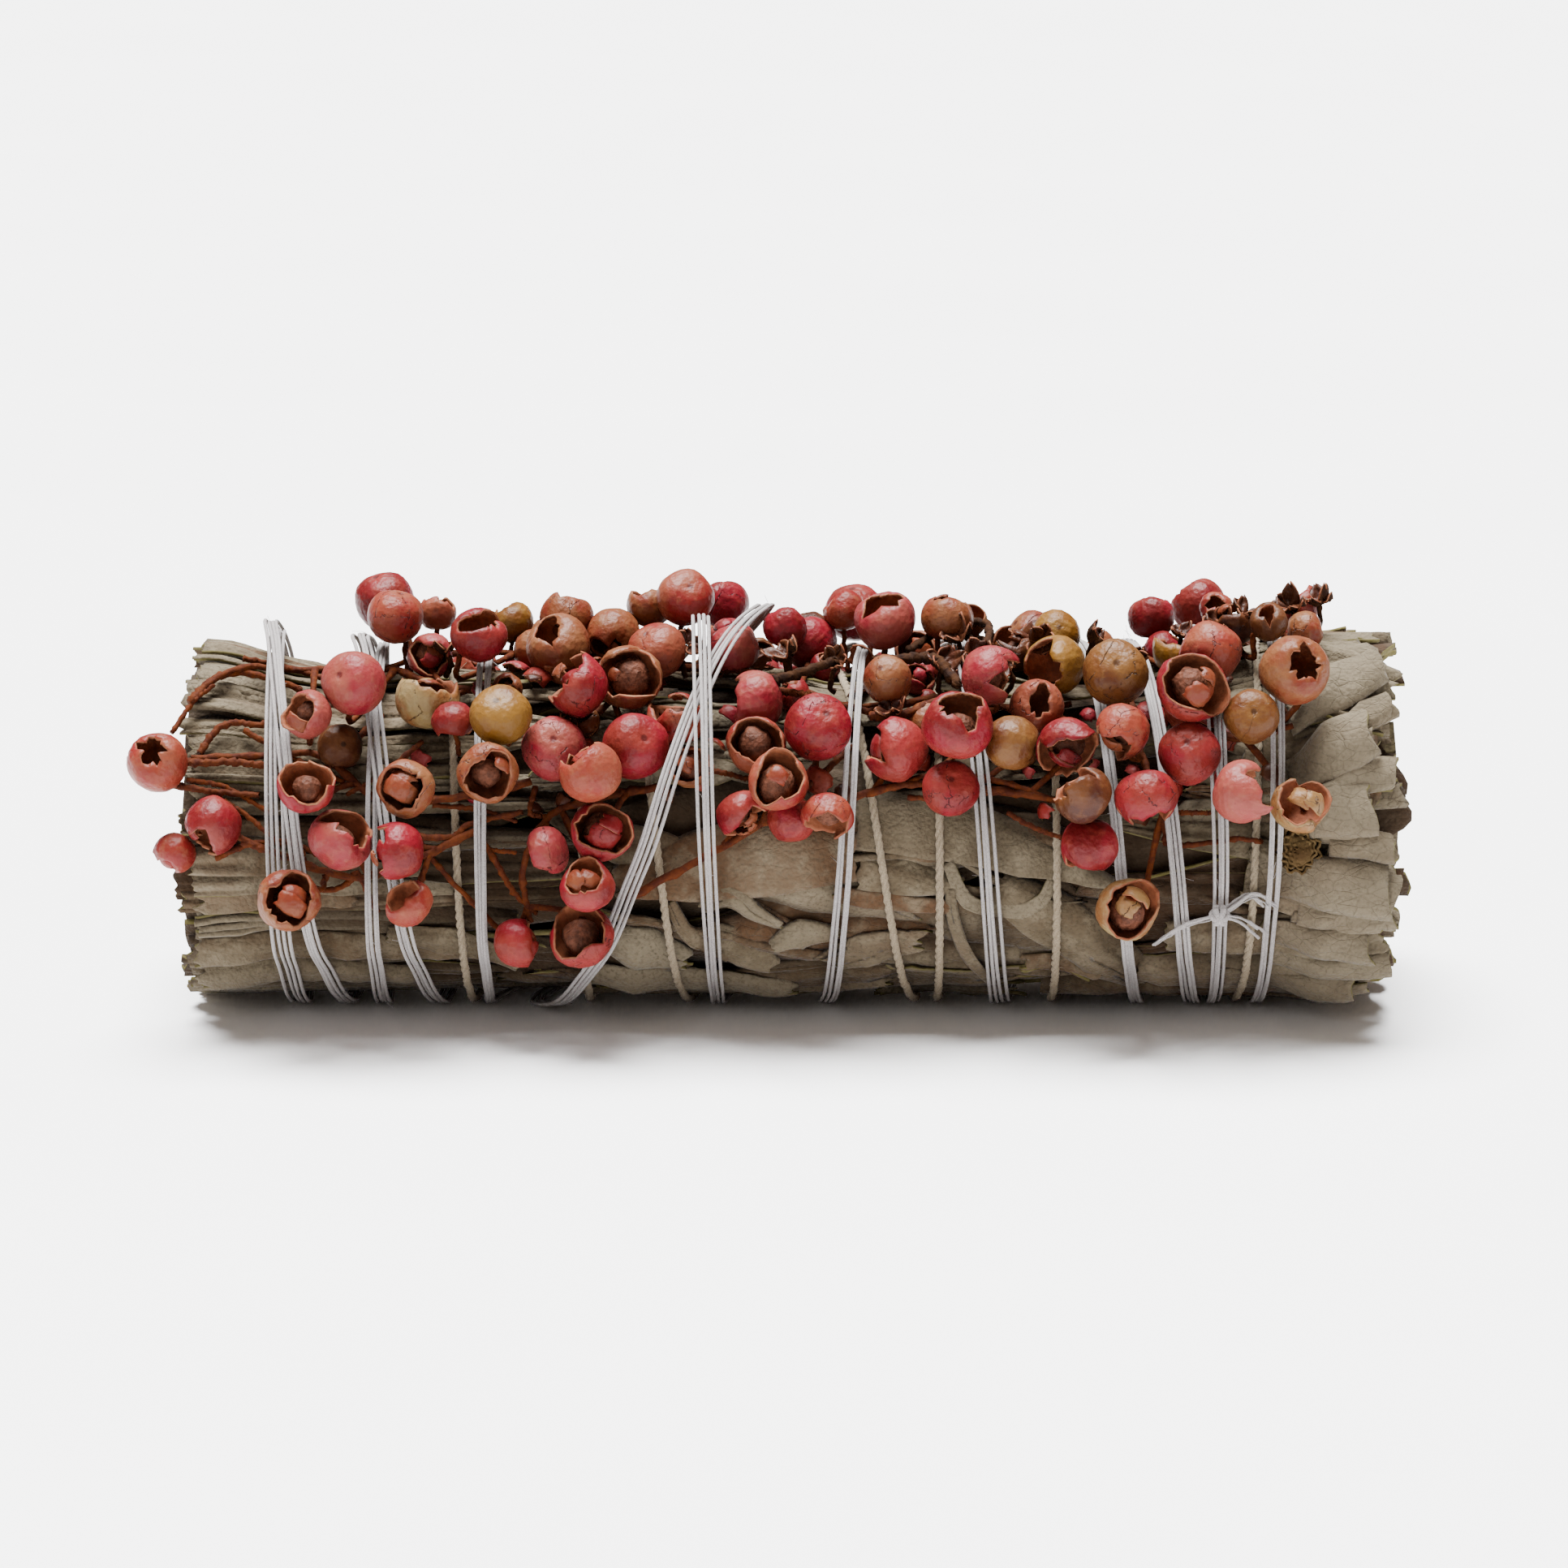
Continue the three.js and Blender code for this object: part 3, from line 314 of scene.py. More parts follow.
def add_rod(heap, line, radii, sides, slot, tint, bumps=0.0, seed=1.0):
    """A round rod along a line, closed at both ends, with an uneven skin if it has bumps."""
    line = np.asarray(line, float)
    radii = np.broadcast_to(radii, len(line))
    one, two = frames_along(line)
    turns = np.linspace(0, 2 * math.pi, sides, endpoint=False)
    around = np.cos(turns)[None, :, None] * one[:, None] + np.sin(turns)[None, :, None] * two[:, None]
    along = lengths_along(line)
    uneven = 1 + bumps * ripple(along[:, None], np.cos(turns)[None] * 2, np.sin(turns)[None] * 2, 0.7, seed)
    points = line[:, None] + around * (radii[:, None] * uneven)[..., None]
    rows = len(line)
    faces = grid_faces(rows, sides, closed=True)
    faces.append(tuple(range(sides - 1, -1, -1)))
    faces.append(tuple((rows - 1) * sides + j for j in range(sides)))
    lay = np.stack(np.broadcast_arrays(np.cos(turns)[None], np.sin(turns)[None], along[:, None]), -1)
    heap.add(points, faces, slot, tint, lay)


def smooth_line(points, steps):
    """A smooth line through points, with some steps from each to the next."""
    points = np.asarray(points, float)
    ends = np.concatenate([[2 * points[0] - points[1]], points, [2 * points[-1] - points[-2]]])
    shares = np.linspace(0, 1, steps, endpoint=False)[:, None]
    line = []
    for i in range(len(points) - 1):
        a, b, c, d = ends[i:i + 4]
        line.append(0.5 * (2 * b + (c - a) * shares + (2 * a - 5 * b + 4 * c - d) * shares ** 2
                           + (3 * b - a - 3 * c + d) * shares ** 3))
    return np.concatenate(line + [points[-1:]])


# Places of the string, the cord and the sprays, worked out as in the solids

# Where each turn shows at the top and at the bottom of the picture, in order.
STRING_TURNS = [
    (345, 372), (335, 432), (474, 474), (445, 545), (602, 607), (945, 663), (862, 886),
    (1062, 1020), (1180, 1233), (1330, 1402), (1392, 1470), (1480, 1494), (1560, 1548),
]
CORD_TURNS = [(560, 585), (720, 728), (775, 850), (1030, 1128), (1150, 1155), (1290, 1296), (1542, 1521)]
TOP_ANGLE = math.radians(100)
HALF_TURN = TURN_STEPS // 2


def along_of(px):
    return (px - AXIS_PIXEL[0]) / PIXELS_PER_MM


def winding_places(turns):
    """The places of a winding: down the front from top to bottom, then up the back to the next top."""
    stops = [along_of(px) for turn in turns for px in turn]
    places = []
    for half in range(len(stops) - 1):
        for step in range(HALF_TURN):
            share = step / HALF_TURN
            x = stops[half] + (stops[half + 1] - stops[half]) * share
            places.append([x, TOP_ANGLE - math.pi * (half + share), 0.0])
    places.append([stops[-1], TOP_ANGLE - math.pi * (len(stops) - 1), 0.0])
    return places


def same_angles(places, others, i):
    """Pairs of neighbouring places on another winding that lie on the same two angles."""
    last = i if others is places else len(others) - 1
    return [(others[k], others[k + 1]) for k in range(i % TURN_STEPS, min(last, len(others) - 1), TURN_STEPS)]


def lift_crossings(places, others, room, nearness):
    """Lifts each stretch that crosses an earlier one clear over it."""
    for i in range(len(places) - 1):
        for low, high in same_angles(places, others, i):
            apart, apart_next = places[i][0] - low[0], places[i + 1][0] - high[0]
            if apart * apart_next > 0 and min(abs(apart), abs(apart_next)) > nearness:
                continue
            places[i][2] = max(places[i][2], low[2] + room)
            places[i + 1][2] = max(places[i + 1][2], high[2] + room)


# One half turn of the string lies over berries, so it runs higher there.
RAISED_HALF = 10
RAISE = 3.6


def raised_by(i):
    """How much higher the string runs at this place of its winding, over the berries."""
    past = i - RAISED_HALF * HALF_TURN
    if abs(past) > HALF_TURN:
        return 0
    turned = past * 180 / HALF_TURN
    return RAISE * float(1 - smooth(0, 28, -turned) if past < 0 else smooth(0, 22, 100 - turned))


def tie_places():
    """The places of the cord and of the string that crosses over it."""
    cord, string = winding_places(CORD_TURNS), winding_places(STRING_TURNS)
    for p in cord:
        p[2] = tie_reach(p[0], p[1]) - CORD_THICK / 2
    for i, p in enumerate(string):
        over_twigs = STRING_OVER_TWIGS * under_sprays(p[0], p[1])
        p[2] = tie_reach(p[0], p[1]) + over_twigs + raised_by(i) - STRING_THICK / 2
    lift_crossings(string, cord, STRING_THICK / 2 + CORD_THICK / 2 + GAP,
                   STRING_WIDTH / 2 + CORD_THICK / 2 + GAP)
    lift_crossings(string, string, STRING_THICK + GAP, STRING_WIDTH + GAP / 2)
    return np.array(cord), np.array(string)


def line_of(places):
    return place(*places.T)


# Directions in which a broken husk opens.
OPENINGS = {"front": SEEN_FROM, "up": PICTURE_UP, "down": -PICTURE_UP, "left": -PICTURE_RIGHT,
            "right": PICTURE_RIGHT}


def opening_of(words):
    total = sum(OPENINGS[word] for word in words.split(" "))
    return total / np.linalg.norm(total)


# Each spray: where its main twig runs, root first, and its berries. A berry is the pixel of its
# middle, how high that lies over the leaves, its radius, the way a broken husk opens (no words for a
# whole one) and its colour.
SPRAYS = [
    ("spray_low_left", [(592, 1022), (520, 1052), (440, 1075), (350, 1050), (300, 1035)], [
        (262, 1017, 2.75, 2.3, "left down", "rose"), (356, 1109, 6.9, 2.5, "front", "tan"),
        (420, 1033, 5.22, 2.6, "front right up", "pink"), (487, 1048, 7.35, 2.3, "left", "rose"),
        (501, 1111, 6.23, 2.1, "front left up", "salmon")]),
    ("spray_left", [(655, 965), (560, 985), (460, 985), (400, 935), (320, 940), (238, 944)], [
        (194, 939, 2.9, 2.45, "", "salmon"), (377, 967, 7.24, 2.3, "front up", "rose"),
        (500, 972, 6.24, 2.35, "front", "tan"), (601, 952, 6.81, 2.45, "front", "tan")]),
    ("spray_upper_left", [(640, 852), (560, 856), (470, 828), (370, 835), (290, 850), (236, 885)], [
        (378, 880, 6.09, 2.0, "front left", "pink"), (436, 842, 6.65, 2.6, "", "pink"),
        (487, 759, 5.62, 2.35, "", "salmon"), (527, 859, 3.35, 2.6, "up", "cream"),
        (617, 881, 6.34, 2.5, "", "gold"), (530, 808, 2.85, 1.9, "front", "pink")]),
    ("spray_top_left", [(812, 760), (760, 752), (680, 762), (600, 765), (545, 770)], [
        (590, 782, 5.89, 2.35, "", "rose"), (687, 796, 3.21, 2.7, "", "tan"),
        (698, 761, 4.86, 2.2, "up", "tan"), (756, 784, 3.56, 2.3, "front down", "tan"),
        (539, 753, 5.31, 1.6, "up", "salmon")]),
    ("spray_low_middle", [(820, 972), (740, 985), (680, 1005), (645, 1070), (655, 1125)], [
        (683, 923, 3.34, 2.6, "", "pink"), (727, 950, 7.47, 2.5, "left up", "salmon"),
        (742, 1024, 5.28, 2.5, "front", "rose"), (672, 1050, 3.01, 2.1, "down left", "pink"),
        (723, 1091, 7.23, 2.2, "front up", "rose"), (715, 1150, 5.41, 2.7, "up front", "rose"),
        (639, 1161, 4.1, 2.0, "right", "rose")]),
    ("spray_middle", [(960, 838), (880, 822), (800, 828), (740, 880), (700, 884)], [
        (711, 845, 5.67, 2.5, "left up", "rose"), (775, 835, 4.01, 2.7, "front", "tan"),
        (809, 802, 3.79, 2.45, "", "salmon"), (783, 920, 4.52, 2.7, "", "rose"),
        (834, 883, 2.95, 2.5, "up", "salmon"), (844, 736, 7.1, 2.4, "", "salmon"),
        (905, 801, 3.21, 2.1, "down", "pink")]),
    ("spray_long", [(772, 1100), (870, 1052), (960, 1000), (1022, 950), (1050, 925)], [
        (929, 863, 3.11, 2.5, "left", "pink"), (932, 917, 3.58, 2.4, "front", "salmon"),
        (959, 962, 6.42, 2.5, "front up", "salmon"), (975, 1008, 2.45, 2.0, "up", "rose"),
        (914, 1004, 3.73, 2.1, "down right", "rose"), (1019, 1008, 5.6, 2.2, "down", "salmon"),
        (1007, 896, 5.14, 2.7, "", "rose")]),
    ("spray_low_right", [(1052, 985), (1130, 968), (1225, 975), (1300, 988), (1360, 1000)], [
        (1103, 924, 3.79, 2.6, "left up", "rose"), (1180, 893, 7.73, 2.9, "front up", "rose"),
        (1171, 971, 4.6, 2.3, "", "rose"), (1247, 916, 5.29, 2.2, "right", "olive"),
        (1315, 923, 3.84, 2.5, "front down", "rose"), (1333, 978, 7.22, 2.3, "left up", "brown"),
        (1342, 1042, 4.68, 2.3, "down", "rose")]),
    ("spray_right", [(985, 852), (1070, 880), (1150, 862), (1230, 872), (1320, 868)], [
        (998, 792, 3.06, 2.3, "", "rose"), (1090, 764, 5.52, 2.6, "", "pink"),
        (1094, 837, 4.4, 2.0, "", "tan"), (1221, 832, 5.94, 2.4, "right", "pink"),
        (1278, 870, 3.51, 2.2, "", "salmon"), (1299, 820, 3.88, 2.5, "front left", "gold"),
        (1381, 903, 6.75, 2.3, "down left", "salmon")]),
    ("spray_top_right", [(1128, 792), (1170, 772), (1240, 765), (1330, 768), (1430, 775)], [
        (1167, 760, 5.53, 2.2, "up", "tan"), (1250, 798, 2.53, 2.0, "up", "brown"),
        (1302, 781, 4.27, 2.0, "", "gold"), (1374, 829, 6.14, 2.7, "", "olive"),
        (1448, 801, 3.68, 1.9, "up", "gold")]),
    ("spray_hanging", [(1392, 862), (1405, 930), (1430, 1000), (1436, 1040)], [
        (1413, 985, 6.44, 2.6, "down", "rose"), (1390, 1120, 6.06, 2.55, "front", "cream")]),
    ("spray_far_right", [(1420, 850), (1480, 905), (1530, 925), (1590, 915)], [
        (1470, 845, 8.21, 2.9, "front", "rose"), (1466, 928, 5.28, 2.5, "", "rose"),
        (1534, 976, 7.56, 2.5, "right", "pink"), (1602, 991, 5.52, 2.4, "front up", "cream"),
        (1542, 883, 5.5, 2.2, "", "olive"), (1595, 826, 5.83, 2.8, "", "tan"),
        (1492, 803, 6.3, 2.4, "down left", "salmon")]),
    ("spray_last", [(1450, 765), (1500, 765), (1560, 770), (1610, 785)], [
        (1521, 766, 4.2, 1.9, "up", "brown"), (1563, 766, 5.07, 1.6, "", "brown"),
        (1609, 779, 3.0, 1.8, "right", "tan")]),
]
# Sprays behind, out of the photograph's sight: their place along from and to, the degrees round of
# their twig, and their berries by place along and degrees round.
BACK_SPRAYS = [
    ("spray_back_left", -35, 1, 132, [
        (-32.6, 119.9, 6.9, 2.49, "", "rose"), (-25.52, 147.8, 5.38, 2.15, "up", "salmon"),
        (-18.35, 118.4, 3.29, 2.3, "", "tan"), (-9.33, 149.3, 5.52, 2.4, "right up", "pink"),
        (-4.39, 117.3, 6.58, 2.23, "left up", "rose")]),
    ("spray_back_right", 5, 39, 136, [
        (6.6, 121.7, 6.08, 2.5, "", "rose"), (13.76, 152.6, 5.33, 2.59, "up", "salmon"),
        (21.37, 121.2, 3.66, 2.16, "", "tan"), (27.99, 150.8, 5.33, 2.44, "right up", "pink"),
        (35.37, 122.6, 5.98, 2.34, "left up", "rose")]),
]


Berry = namedtuple("Berry", "centre radius way colour")
Spray = namedtuple("Spray", "name line berries")


def read_berry(px, py, lift, radius, way, colour):
    centre = seen_at((px, py), LEAF_REACH + lift)
    for _ in range(4):
        x, angle, _ = place_of(centre)
        centre = seen_at((px, py), float(leaf_reach(x, angle)) + lift)
    return Berry(centre, radius, way, colour)


def back_berry(x, degrees, lift, radius, way, colour):
    angle = math.radians(degrees)
    return Berry(over_leaves(x, angle, lift), radius, way, colour)


def on_twigs(point, lift=TWIG_LIFT):
    """Moves a point straight out or in to the height over the leaves at which twigs run."""
    x, angle, _ = place_of(point)
    return over_leaves(x, angle, lift)


def centripetal_run(points, count):
    """A smooth line through points that doesn't overshoot where they crowd, as in the solids."""
    points = [np.asarray(p, float) for p in points]
    line = []
    for k in range(count + 1):
        where = (len(points) - 1) * k / count
        i = min(int(where), len(points) - 2)
        share = where - i
        b, c = points[i], points[i + 1]
        a = points[i - 1] if i > 0 else 2 * points[0] - points[1]
        d = points[i + 2] if i + 2 < len(points) else 2 * points[-1] - points[-2]
        one, two, three = (max(float(np.linalg.norm(q - p)), 1e-4) ** 0.5
                           for p, q in ((a, b), (b, c), (c, d)))
        start = ((b - a) / one - (c - a) / (one + two) + (c - b) / two) * two
        end = ((c - b) / two - (d - b) / (two + three) + (d - c) / three) * two
        line.append(b + start * share + (-3 * b + 3 * c - 2 * start - end) * share ** 2
                    + (2 * b - 2 * c + start + end) * share ** 3)
    return line


def spray_through(name, places, berries):
    """A spray whose main twig runs along the leaves past these places."""
    return Spray(name, np.array([on_twigs(point) for point in centripetal_run(places, 8)]), berries)


def read_sprays():
    sprays = []
    for name, twig, berries in SPRAYS:
        places = [on_twigs(seen_at(pixel, LEAF_REACH + TWIG_LIFT - 1.5)) for pixel in twig]
        sprays.append(spray_through(name, places, [read_berry(*berry) for berry in berries]))
    for name, low, high, angle, berries in BACK_SPRAYS:
        places = [place(low + (high - low) * share, math.radians(angle + 3 * (i % 2)), LEAF_REACH)
                  for i, share in enumerate((0, 0.33, 0.66, 1))]
        sprays.append(spray_through(name, places, [back_berry(*berry) for berry in berries]))
    return sprays


def nearest_on_line(point, line):
    starts, spans = line[:-1], np.diff(line, axis=0)
    shares = np.clip(((point - starts) * spans).sum(1) / np.maximum((spans * spans).sum(1), 1e-12), 0, 1)
    on = starts + spans * shares[:, None]
    return on[np.argmin(((on - point) ** 2).sum(1))]


def out_of(point):
    """Straight out of the bunch at a point."""
    _, angle, _ = place_of(point)
    return np.array([0.0, -math.cos(angle), math.sin(angle)])


def aside_of(direction, point):
    """What is left of a direction when its part out of the bunch is taken away."""
    out = out_of(point)
    return direction - out * direction.dot(out)


def unit(vector):
    return vector / max(float(np.linalg.norm(vector)), 1e-12)


def across_axis(axis, hint):
    """Two unit vectors across an axis, square to each other."""
    across = unit(np.cross(hint, axis))
    return across, np.cross(axis, across)


# How a berry's twig bends: its gap beside the string, the height of its bend under a high berry, and
# the steps along the stick in which a free place is sought.
ELBOW_GAP = 0.7
SHOULDER_LIFT = 3.9
SIDE_STEP = 0.4
SIDE_STEPS = 12


def beside(point, line, apart):
    """The nearest place to a point along the stick, on either side, that lies this far beside a line."""
    for step in range(SIDE_STEPS):
        for way in (1, -1):
            tried = on_twigs(point + PICTURE_RIGHT * way * step * SIDE_STEP)
            away = aside_of(tried - nearest_on_line(tried, line), tried)
            if np.linalg.norm(away) >= apart:
                return tried
    return point


def twiglet_points(spray, berry, string_line):
    """A twig from the main twig, along the leaves, past the string and up into its berry."""
    under = on_twigs(berry.centre)
    near = nearest_on_line(under, spray.line)
    root = spray.line[0]
    back = min(2.5, float(np.linalg.norm(near - root)) * 0.6)
    foot = nearest_on_line(near + unit(root - near) * back, spray.line)
    elbow = beside(under, string_line, STRING_WIDTH / 2 + TWIG_RADIUS + ELBOW_GAP)
    x, angle, reach = place_of(berry.centre)
    high = reach - float(leaf_reach(x, angle)) > SHOULDER_LIFT + 1
    shoulder = [on_twigs(elbow, SHOULDER_LIFT)] if high else []
    return [foot, elbow, *shoulder, berry.centre]


# Materials

class Value:
    """A number or a vector on its way through a material, so that sums are written plainly."""

    def __init__(self, paint, socket):
        self.paint, self.socket = paint, socket

    def worked_out(self, operation, first, second):
        return self.paint.node("ShaderNodeMath", {"operation": operation}, {0: first, 1: second})

    def __add__(self, other):
        return self.worked_out("ADD", self, other)

    __radd__ = __add__

    def __sub__(self, other):
        return self.worked_out("SUBTRACT", self, other)

    def __rsub__(self, other):
        return self.worked_out("SUBTRACT", other, self)

    def __mul__(self, other):
        return self.worked_out("MULTIPLY", self, other)

    __rmul__ = __mul__

    def step(self, low, high):
        """Nought at low, one at high, smooth between."""
        return self.paint.node("ShaderNodeMapRange", {"interpolation_type": "SMOOTHSTEP"},
                               {"Value": self, "From Min": low, "From Max": high})

    def stretched(self, x, y, z):
        return self.paint.node("ShaderNodeVectorMath", {"operation": "MULTIPLY"}, {0: self, 1: (x, y, z)})


class Paint:
    """One material, built up node by node."""

    def __init__(self, name):
        self.material = bpy.data.materials.new(name)
        self.material.use_nodes = True
        self.tree = self.material.node_tree
        self.tree.nodes.clear()

    def node(self, kind, settings=None, inputs=None, output=0):
        """Any node by its type, its settings (set first) and the values or links of its sockets."""
        made = self.tree.nodes.new(kind)
        for key, value in (settings or {}).items():
            setattr(made, key, value)
        for key, value in (inputs or {}).items():
            if isinstance(value, Value):
                self.tree.links.new(value.socket, made.inputs[key])
            else:
                made.inputs[key].default_value = value
        return Value(self, made.outputs[output])

    def where(self):
        """The place on the stick, in millimetres."""
        place_in_metres = self.node("ShaderNodeTexCoord", output="Object")
        return place_in_metres.stretched(1000, 1000, 1000)

    def part_of(self, name, axis):
        """One of the three numbers of an attribute."""
        vector = self.node("ShaderNodeAttribute", {"attribute_name": name}, output="Vector")
        return self.node("ShaderNodeSeparateXYZ", None, {0: vector}, axis)

    def number(self, name):
        return self.node("ShaderNodeAttribute", {"attribute_name": name}, output="Fac")

    def noise(self, vector, scale, detail=3.0, rough=0.55):
        return self.node("ShaderNodeTexNoise", {"noise_dimensions": "3D"},
                         {"Vector": vector, "Scale": scale, "Detail": detail, "Roughness": rough})

    def cells(self, vector, scale, feature="F1", **inputs):
        return self.node("ShaderNodeTexVoronoi", {"feature": feature},
                         {"Vector": vector, "Scale": scale, **inputs}, "Distance")

    def mix(self, share, low, high):
        """A colour between two, where a colour is a socket or three numbers."""
        full = [c if isinstance(c, Value) else (*c, 1.0) for c in (low, high)]
        return self.node("ShaderNodeMix", {"data_type": "RGBA"},
                         {0: share, 6: full[0], 7: full[1]}, output=2)

    def layers(self, base, *coats):
        """Coats of colour over a base, each with the mask of where it lies."""
        for mask, colour in coats:
            base = self.mix(mask, base, colour)
        return base

    def bump(self, height, strength, distance):
        return self.node("ShaderNodeBump", None,
                         {"Height": height, "Strength": strength, "Distance": distance})

    def finish(self, colour, roughness, normal, **constants):
        """Joins it all in one surface. The constants are numbers set on the surface itself."""
        inputs = {"Base Color": colour, "Roughness": roughness, "Normal": normal}
        for key, value in constants.items():
            inputs[key.replace("_", " ").title().replace("Ior", "IOR")] = value
        surface = self.node("ShaderNodeBsdfPrincipled", None, inputs)
        out = self.tree.nodes.new("ShaderNodeOutputMaterial")
        self.tree.links.new(surface.socket, out.inputs["Surface"])
        return self.material


# The light is strong, so that the floor comes out near white, and the colours are deeper for it.
DEPTH = 0.27
RICHNESS = 1.12
DARKEST = 0.012


def linear(*parts):
    """A colour as a screen shows it (0 to 255) turned into light."""
    light = [((part / 255 + 0.055) / 1.055) ** 2.4 for part in parts]
    grey = sum(light) / 3
    return tuple(DEPTH * max(grey + (share - grey) * RICHNESS, DARKEST) for share in light)


def toned(colour, share):
    """A colour made darker, or paler where the share is over one."""
    return tuple(min(1, part * share) for part in colour)


def leaf_paint(name, colours, shade, veins):
    """Dried sage: pebbled between fine veins, with a soft felt of hairs over it, painted shade where a leaf
    lies low or shows its under side, and painted light where it lies high.
    """
    paint = Paint(name)
    place_mm = paint.where()
    tint = paint.number("tint")
    large = paint.noise(place_mm.stretched(0.35, 1, 1), 0.12, 2)
    middle = paint.noise(place_mm, 0.55, 3)
    fine = paint.noise(place_mm, 3.2, 3, 0.6)
    pebbles = paint.cells(place_mm, 2.7, "SMOOTH_F1", Smoothness=0.35, Randomness=0.9)
    net = paint.cells(place_mm.stretched(0.5, 1, 1), 1.1, "DISTANCE_TO_EDGE", Randomness=1.0)
    on_vein = 1 - net.step(0.0, 0.05)
    pale, dull, brown = colours
    height_for_painted_shade_and_light = paint.part_of("lay", "Z")
    colour = paint.layers(
        brown,
        (tint.step(0.0, 0.45), dull),
        (tint.step(0.4, 1.0), pale),
        (large.step(0.5, 0.78) * 0.5, brown),
        (middle.step(0.42, 0.72) * 0.5, toned(pale, 1.25)),
        (fine.step(0.52, 0.32) * 0.5, toned(dull, 0.55)),
        (on_vein * veins * 0.5, toned(dull, 0.72)),
        # Painted shade: leaves that lie low under others are darkened. Painted light: the highest are made
        # paler.
        ((1 - height_for_painted_shade_and_light.step(-0.75, 0.2)) * 0.8, toned(brown, 0.3)),
        (height_for_painted_shade_and_light.step(0.3, 1.3) * 0.35, toned(pale, 1.2)),
        (shade, toned(brown, 0.35)))
    height = (1 - pebbles) * 0.55 + fine * 0.5 + middle * 0.6 + on_vein * -0.35 * veins
    normal = paint.bump(height, strength=0.75, distance=0.00022)
    rough = fine * 0.14 + 0.78
    return paint.finish(colour, rough, normal, sheen_weight=0.06, sheen_roughness=0.5,
                        specular_ior_level=0.1)


def husk_paint(name, colour, deep, pale):
    """A dried berry's skin: satin, finely wrinkled, speckled, cracked in places."""
    paint = Paint(name)
    place_mm = paint.where()
    tint = paint.number("tint")
    up_skin = paint.part_of("lay", "Z")
    patches = paint.noise(place_mm, 0.3, 2)
    blush = paint.noise(place_mm, 0.19, 1)
    mottle = paint.noise(place_mm, 1.3, 3, 0.6)
    fine = paint.noise(place_mm, 6.0, 3)
    wrinkles = paint.cells(place_mm, 2.2, "SMOOTH_F1", Smoothness=0.5)
    crack_way = paint.noise(place_mm, 1.1, 3)
    cracks = paint.cells(paint.node("ShaderNodeVectorMath", {"operation": "ADD"},
                                    {0: place_mm, 1: crack_way * 1.6}), 0.3, "DISTANCE_TO_EDGE")
    cracked = (1 - cracks.step(0.003, 0.016)) * tint.step(0.6, 0.65) * crack_way.step(0.46, 0.5)
    spots = (1 - paint.cells(place_mm, 1.3).step(0.08, 0.17)) * mottle.step(0.4, 0.5)
    base = paint.layers(
        colour,
        (patches.step(0.4, 0.62), deep),
        (blush.step(0.5, 0.6) * 0.4, pale),
        (mottle.step(0.46, 0.74) * 0.45, pale),
        (up_skin.step(0.8, 0.93) * 0.35, pale),
        ((1 - up_skin.step(0.02, 0.2)) * 0.5, deep),
        (spots * 0.3, toned(deep, 0.4)),
        (up_skin.step(0.945, 0.975) * 0.75, toned(deep, 0.3)),
        (cracked * 0.85, toned(deep, 0.15)))
    height = wrinkles * 0.5 + mottle * 0.9 + fine * 0.16 - cracked * 1.2
    normal = paint.bump(height, strength=0.6, distance=0.0002)
    rough = fine * 0.12 + mottle * 0.2 + 0.28
    return paint.finish(base, rough, normal, specular_ior_level=0.16)


def plain_paint(name, colour, second, scale=2.0, bump=0.5, roughness=0.85, stretch=(1, 1, 1)):
    """A dull, uneven, mottled skin, for seeds, twigs and the insides of things."""
    paint = Paint(name)
    place_mm = paint.where().stretched(*stretch)
    tint = paint.number("tint")
    mottle = paint.noise(place_mm, scale, 4, 0.6)
    fine = paint.noise(place_mm, scale * 5, 3)
    ridges = paint.cells(place_mm, scale * 1.6, "SMOOTH_F1", Smoothness=0.3)
    base = paint.layers(colour, (mottle.step(0.32, 0.7), second), (tint * 0.45, toned(second, 0.55)))
    height = mottle * 0.7 + ridges * 0.6 + fine * 0.25
    normal = paint.bump(height, strength=bump, distance=0.0002)
    return paint.finish(base, fine * 0.16 + (roughness - 0.08), normal, specular_ior_level=0.08)


def cotton_paint(name, colour, shade):
    """Cotton thread: fine fibres along its twist, with painted shade in the grooves between them."""
    paint = Paint(name)
    place_mm = paint.where()
    fibres = paint.noise(place_mm.stretched(4, 1, 1), 7.0, 4, 0.65)
    soft = paint.noise(place_mm, 1.1, 2)
    # Painted shade in the grooves between the fibres, and soft patches of the same darker colour at random.
    base = paint.layers(shade, (fibres.step(0.35, 0.62), colour), (soft.step(0.5, 0.8) * 0.35, shade))
    return paint.finish(base, fibres * 0.1 + 0.84, paint.bump(fibres, strength=0.6, distance=0.00012),
                        sheen_weight=0.08, specular_ior_level=0.1)


# Shapes of the leaves

WINDINGS = tie_places()
FAR = 99.0
# The materials of a leaf's upper side, under side and cut edge, and of a stem.
LEAF_SLOTS = (0, 1, 2)
STEM_SLOT = 3


def slack(x, angle):
    """How far from places on the bunch the nearest tie passes, along the stick."""
    x, angle = np.broadcast_arrays(np.asarray(x, float), np.asarray(angle, float))
    nearest = np.full(x.shape, FAR)
    for places in WINDINGS:
        turned = -places[:, 1]
        first = -(np.mod(angle - TOP_ANGLE, 2 * math.pi) - 2 * math.pi + TOP_ANGLE)
        for lap in range(-1, int((turned[-1] - turned[0]) / (2 * math.pi)) + 2):
            here = first + 2 * math.pi * lap
            on = np.interp(here, turned, places[:, 0])
            inside = (here >= turned[0]) & (here <= turned[-1])
            nearest = np.where(inside, np.minimum(nearest, np.abs(x - on)), nearest)
    return nearest


def bulging(x, angle):
    """How far leaves can swell out between the ties: nought at a tie, up to one away from any."""
    return smooth(0.5, 4.5, slack(x, angle)) * (1 - 0.6 * smooth(0.75, 1.0, -np.sin(angle)))


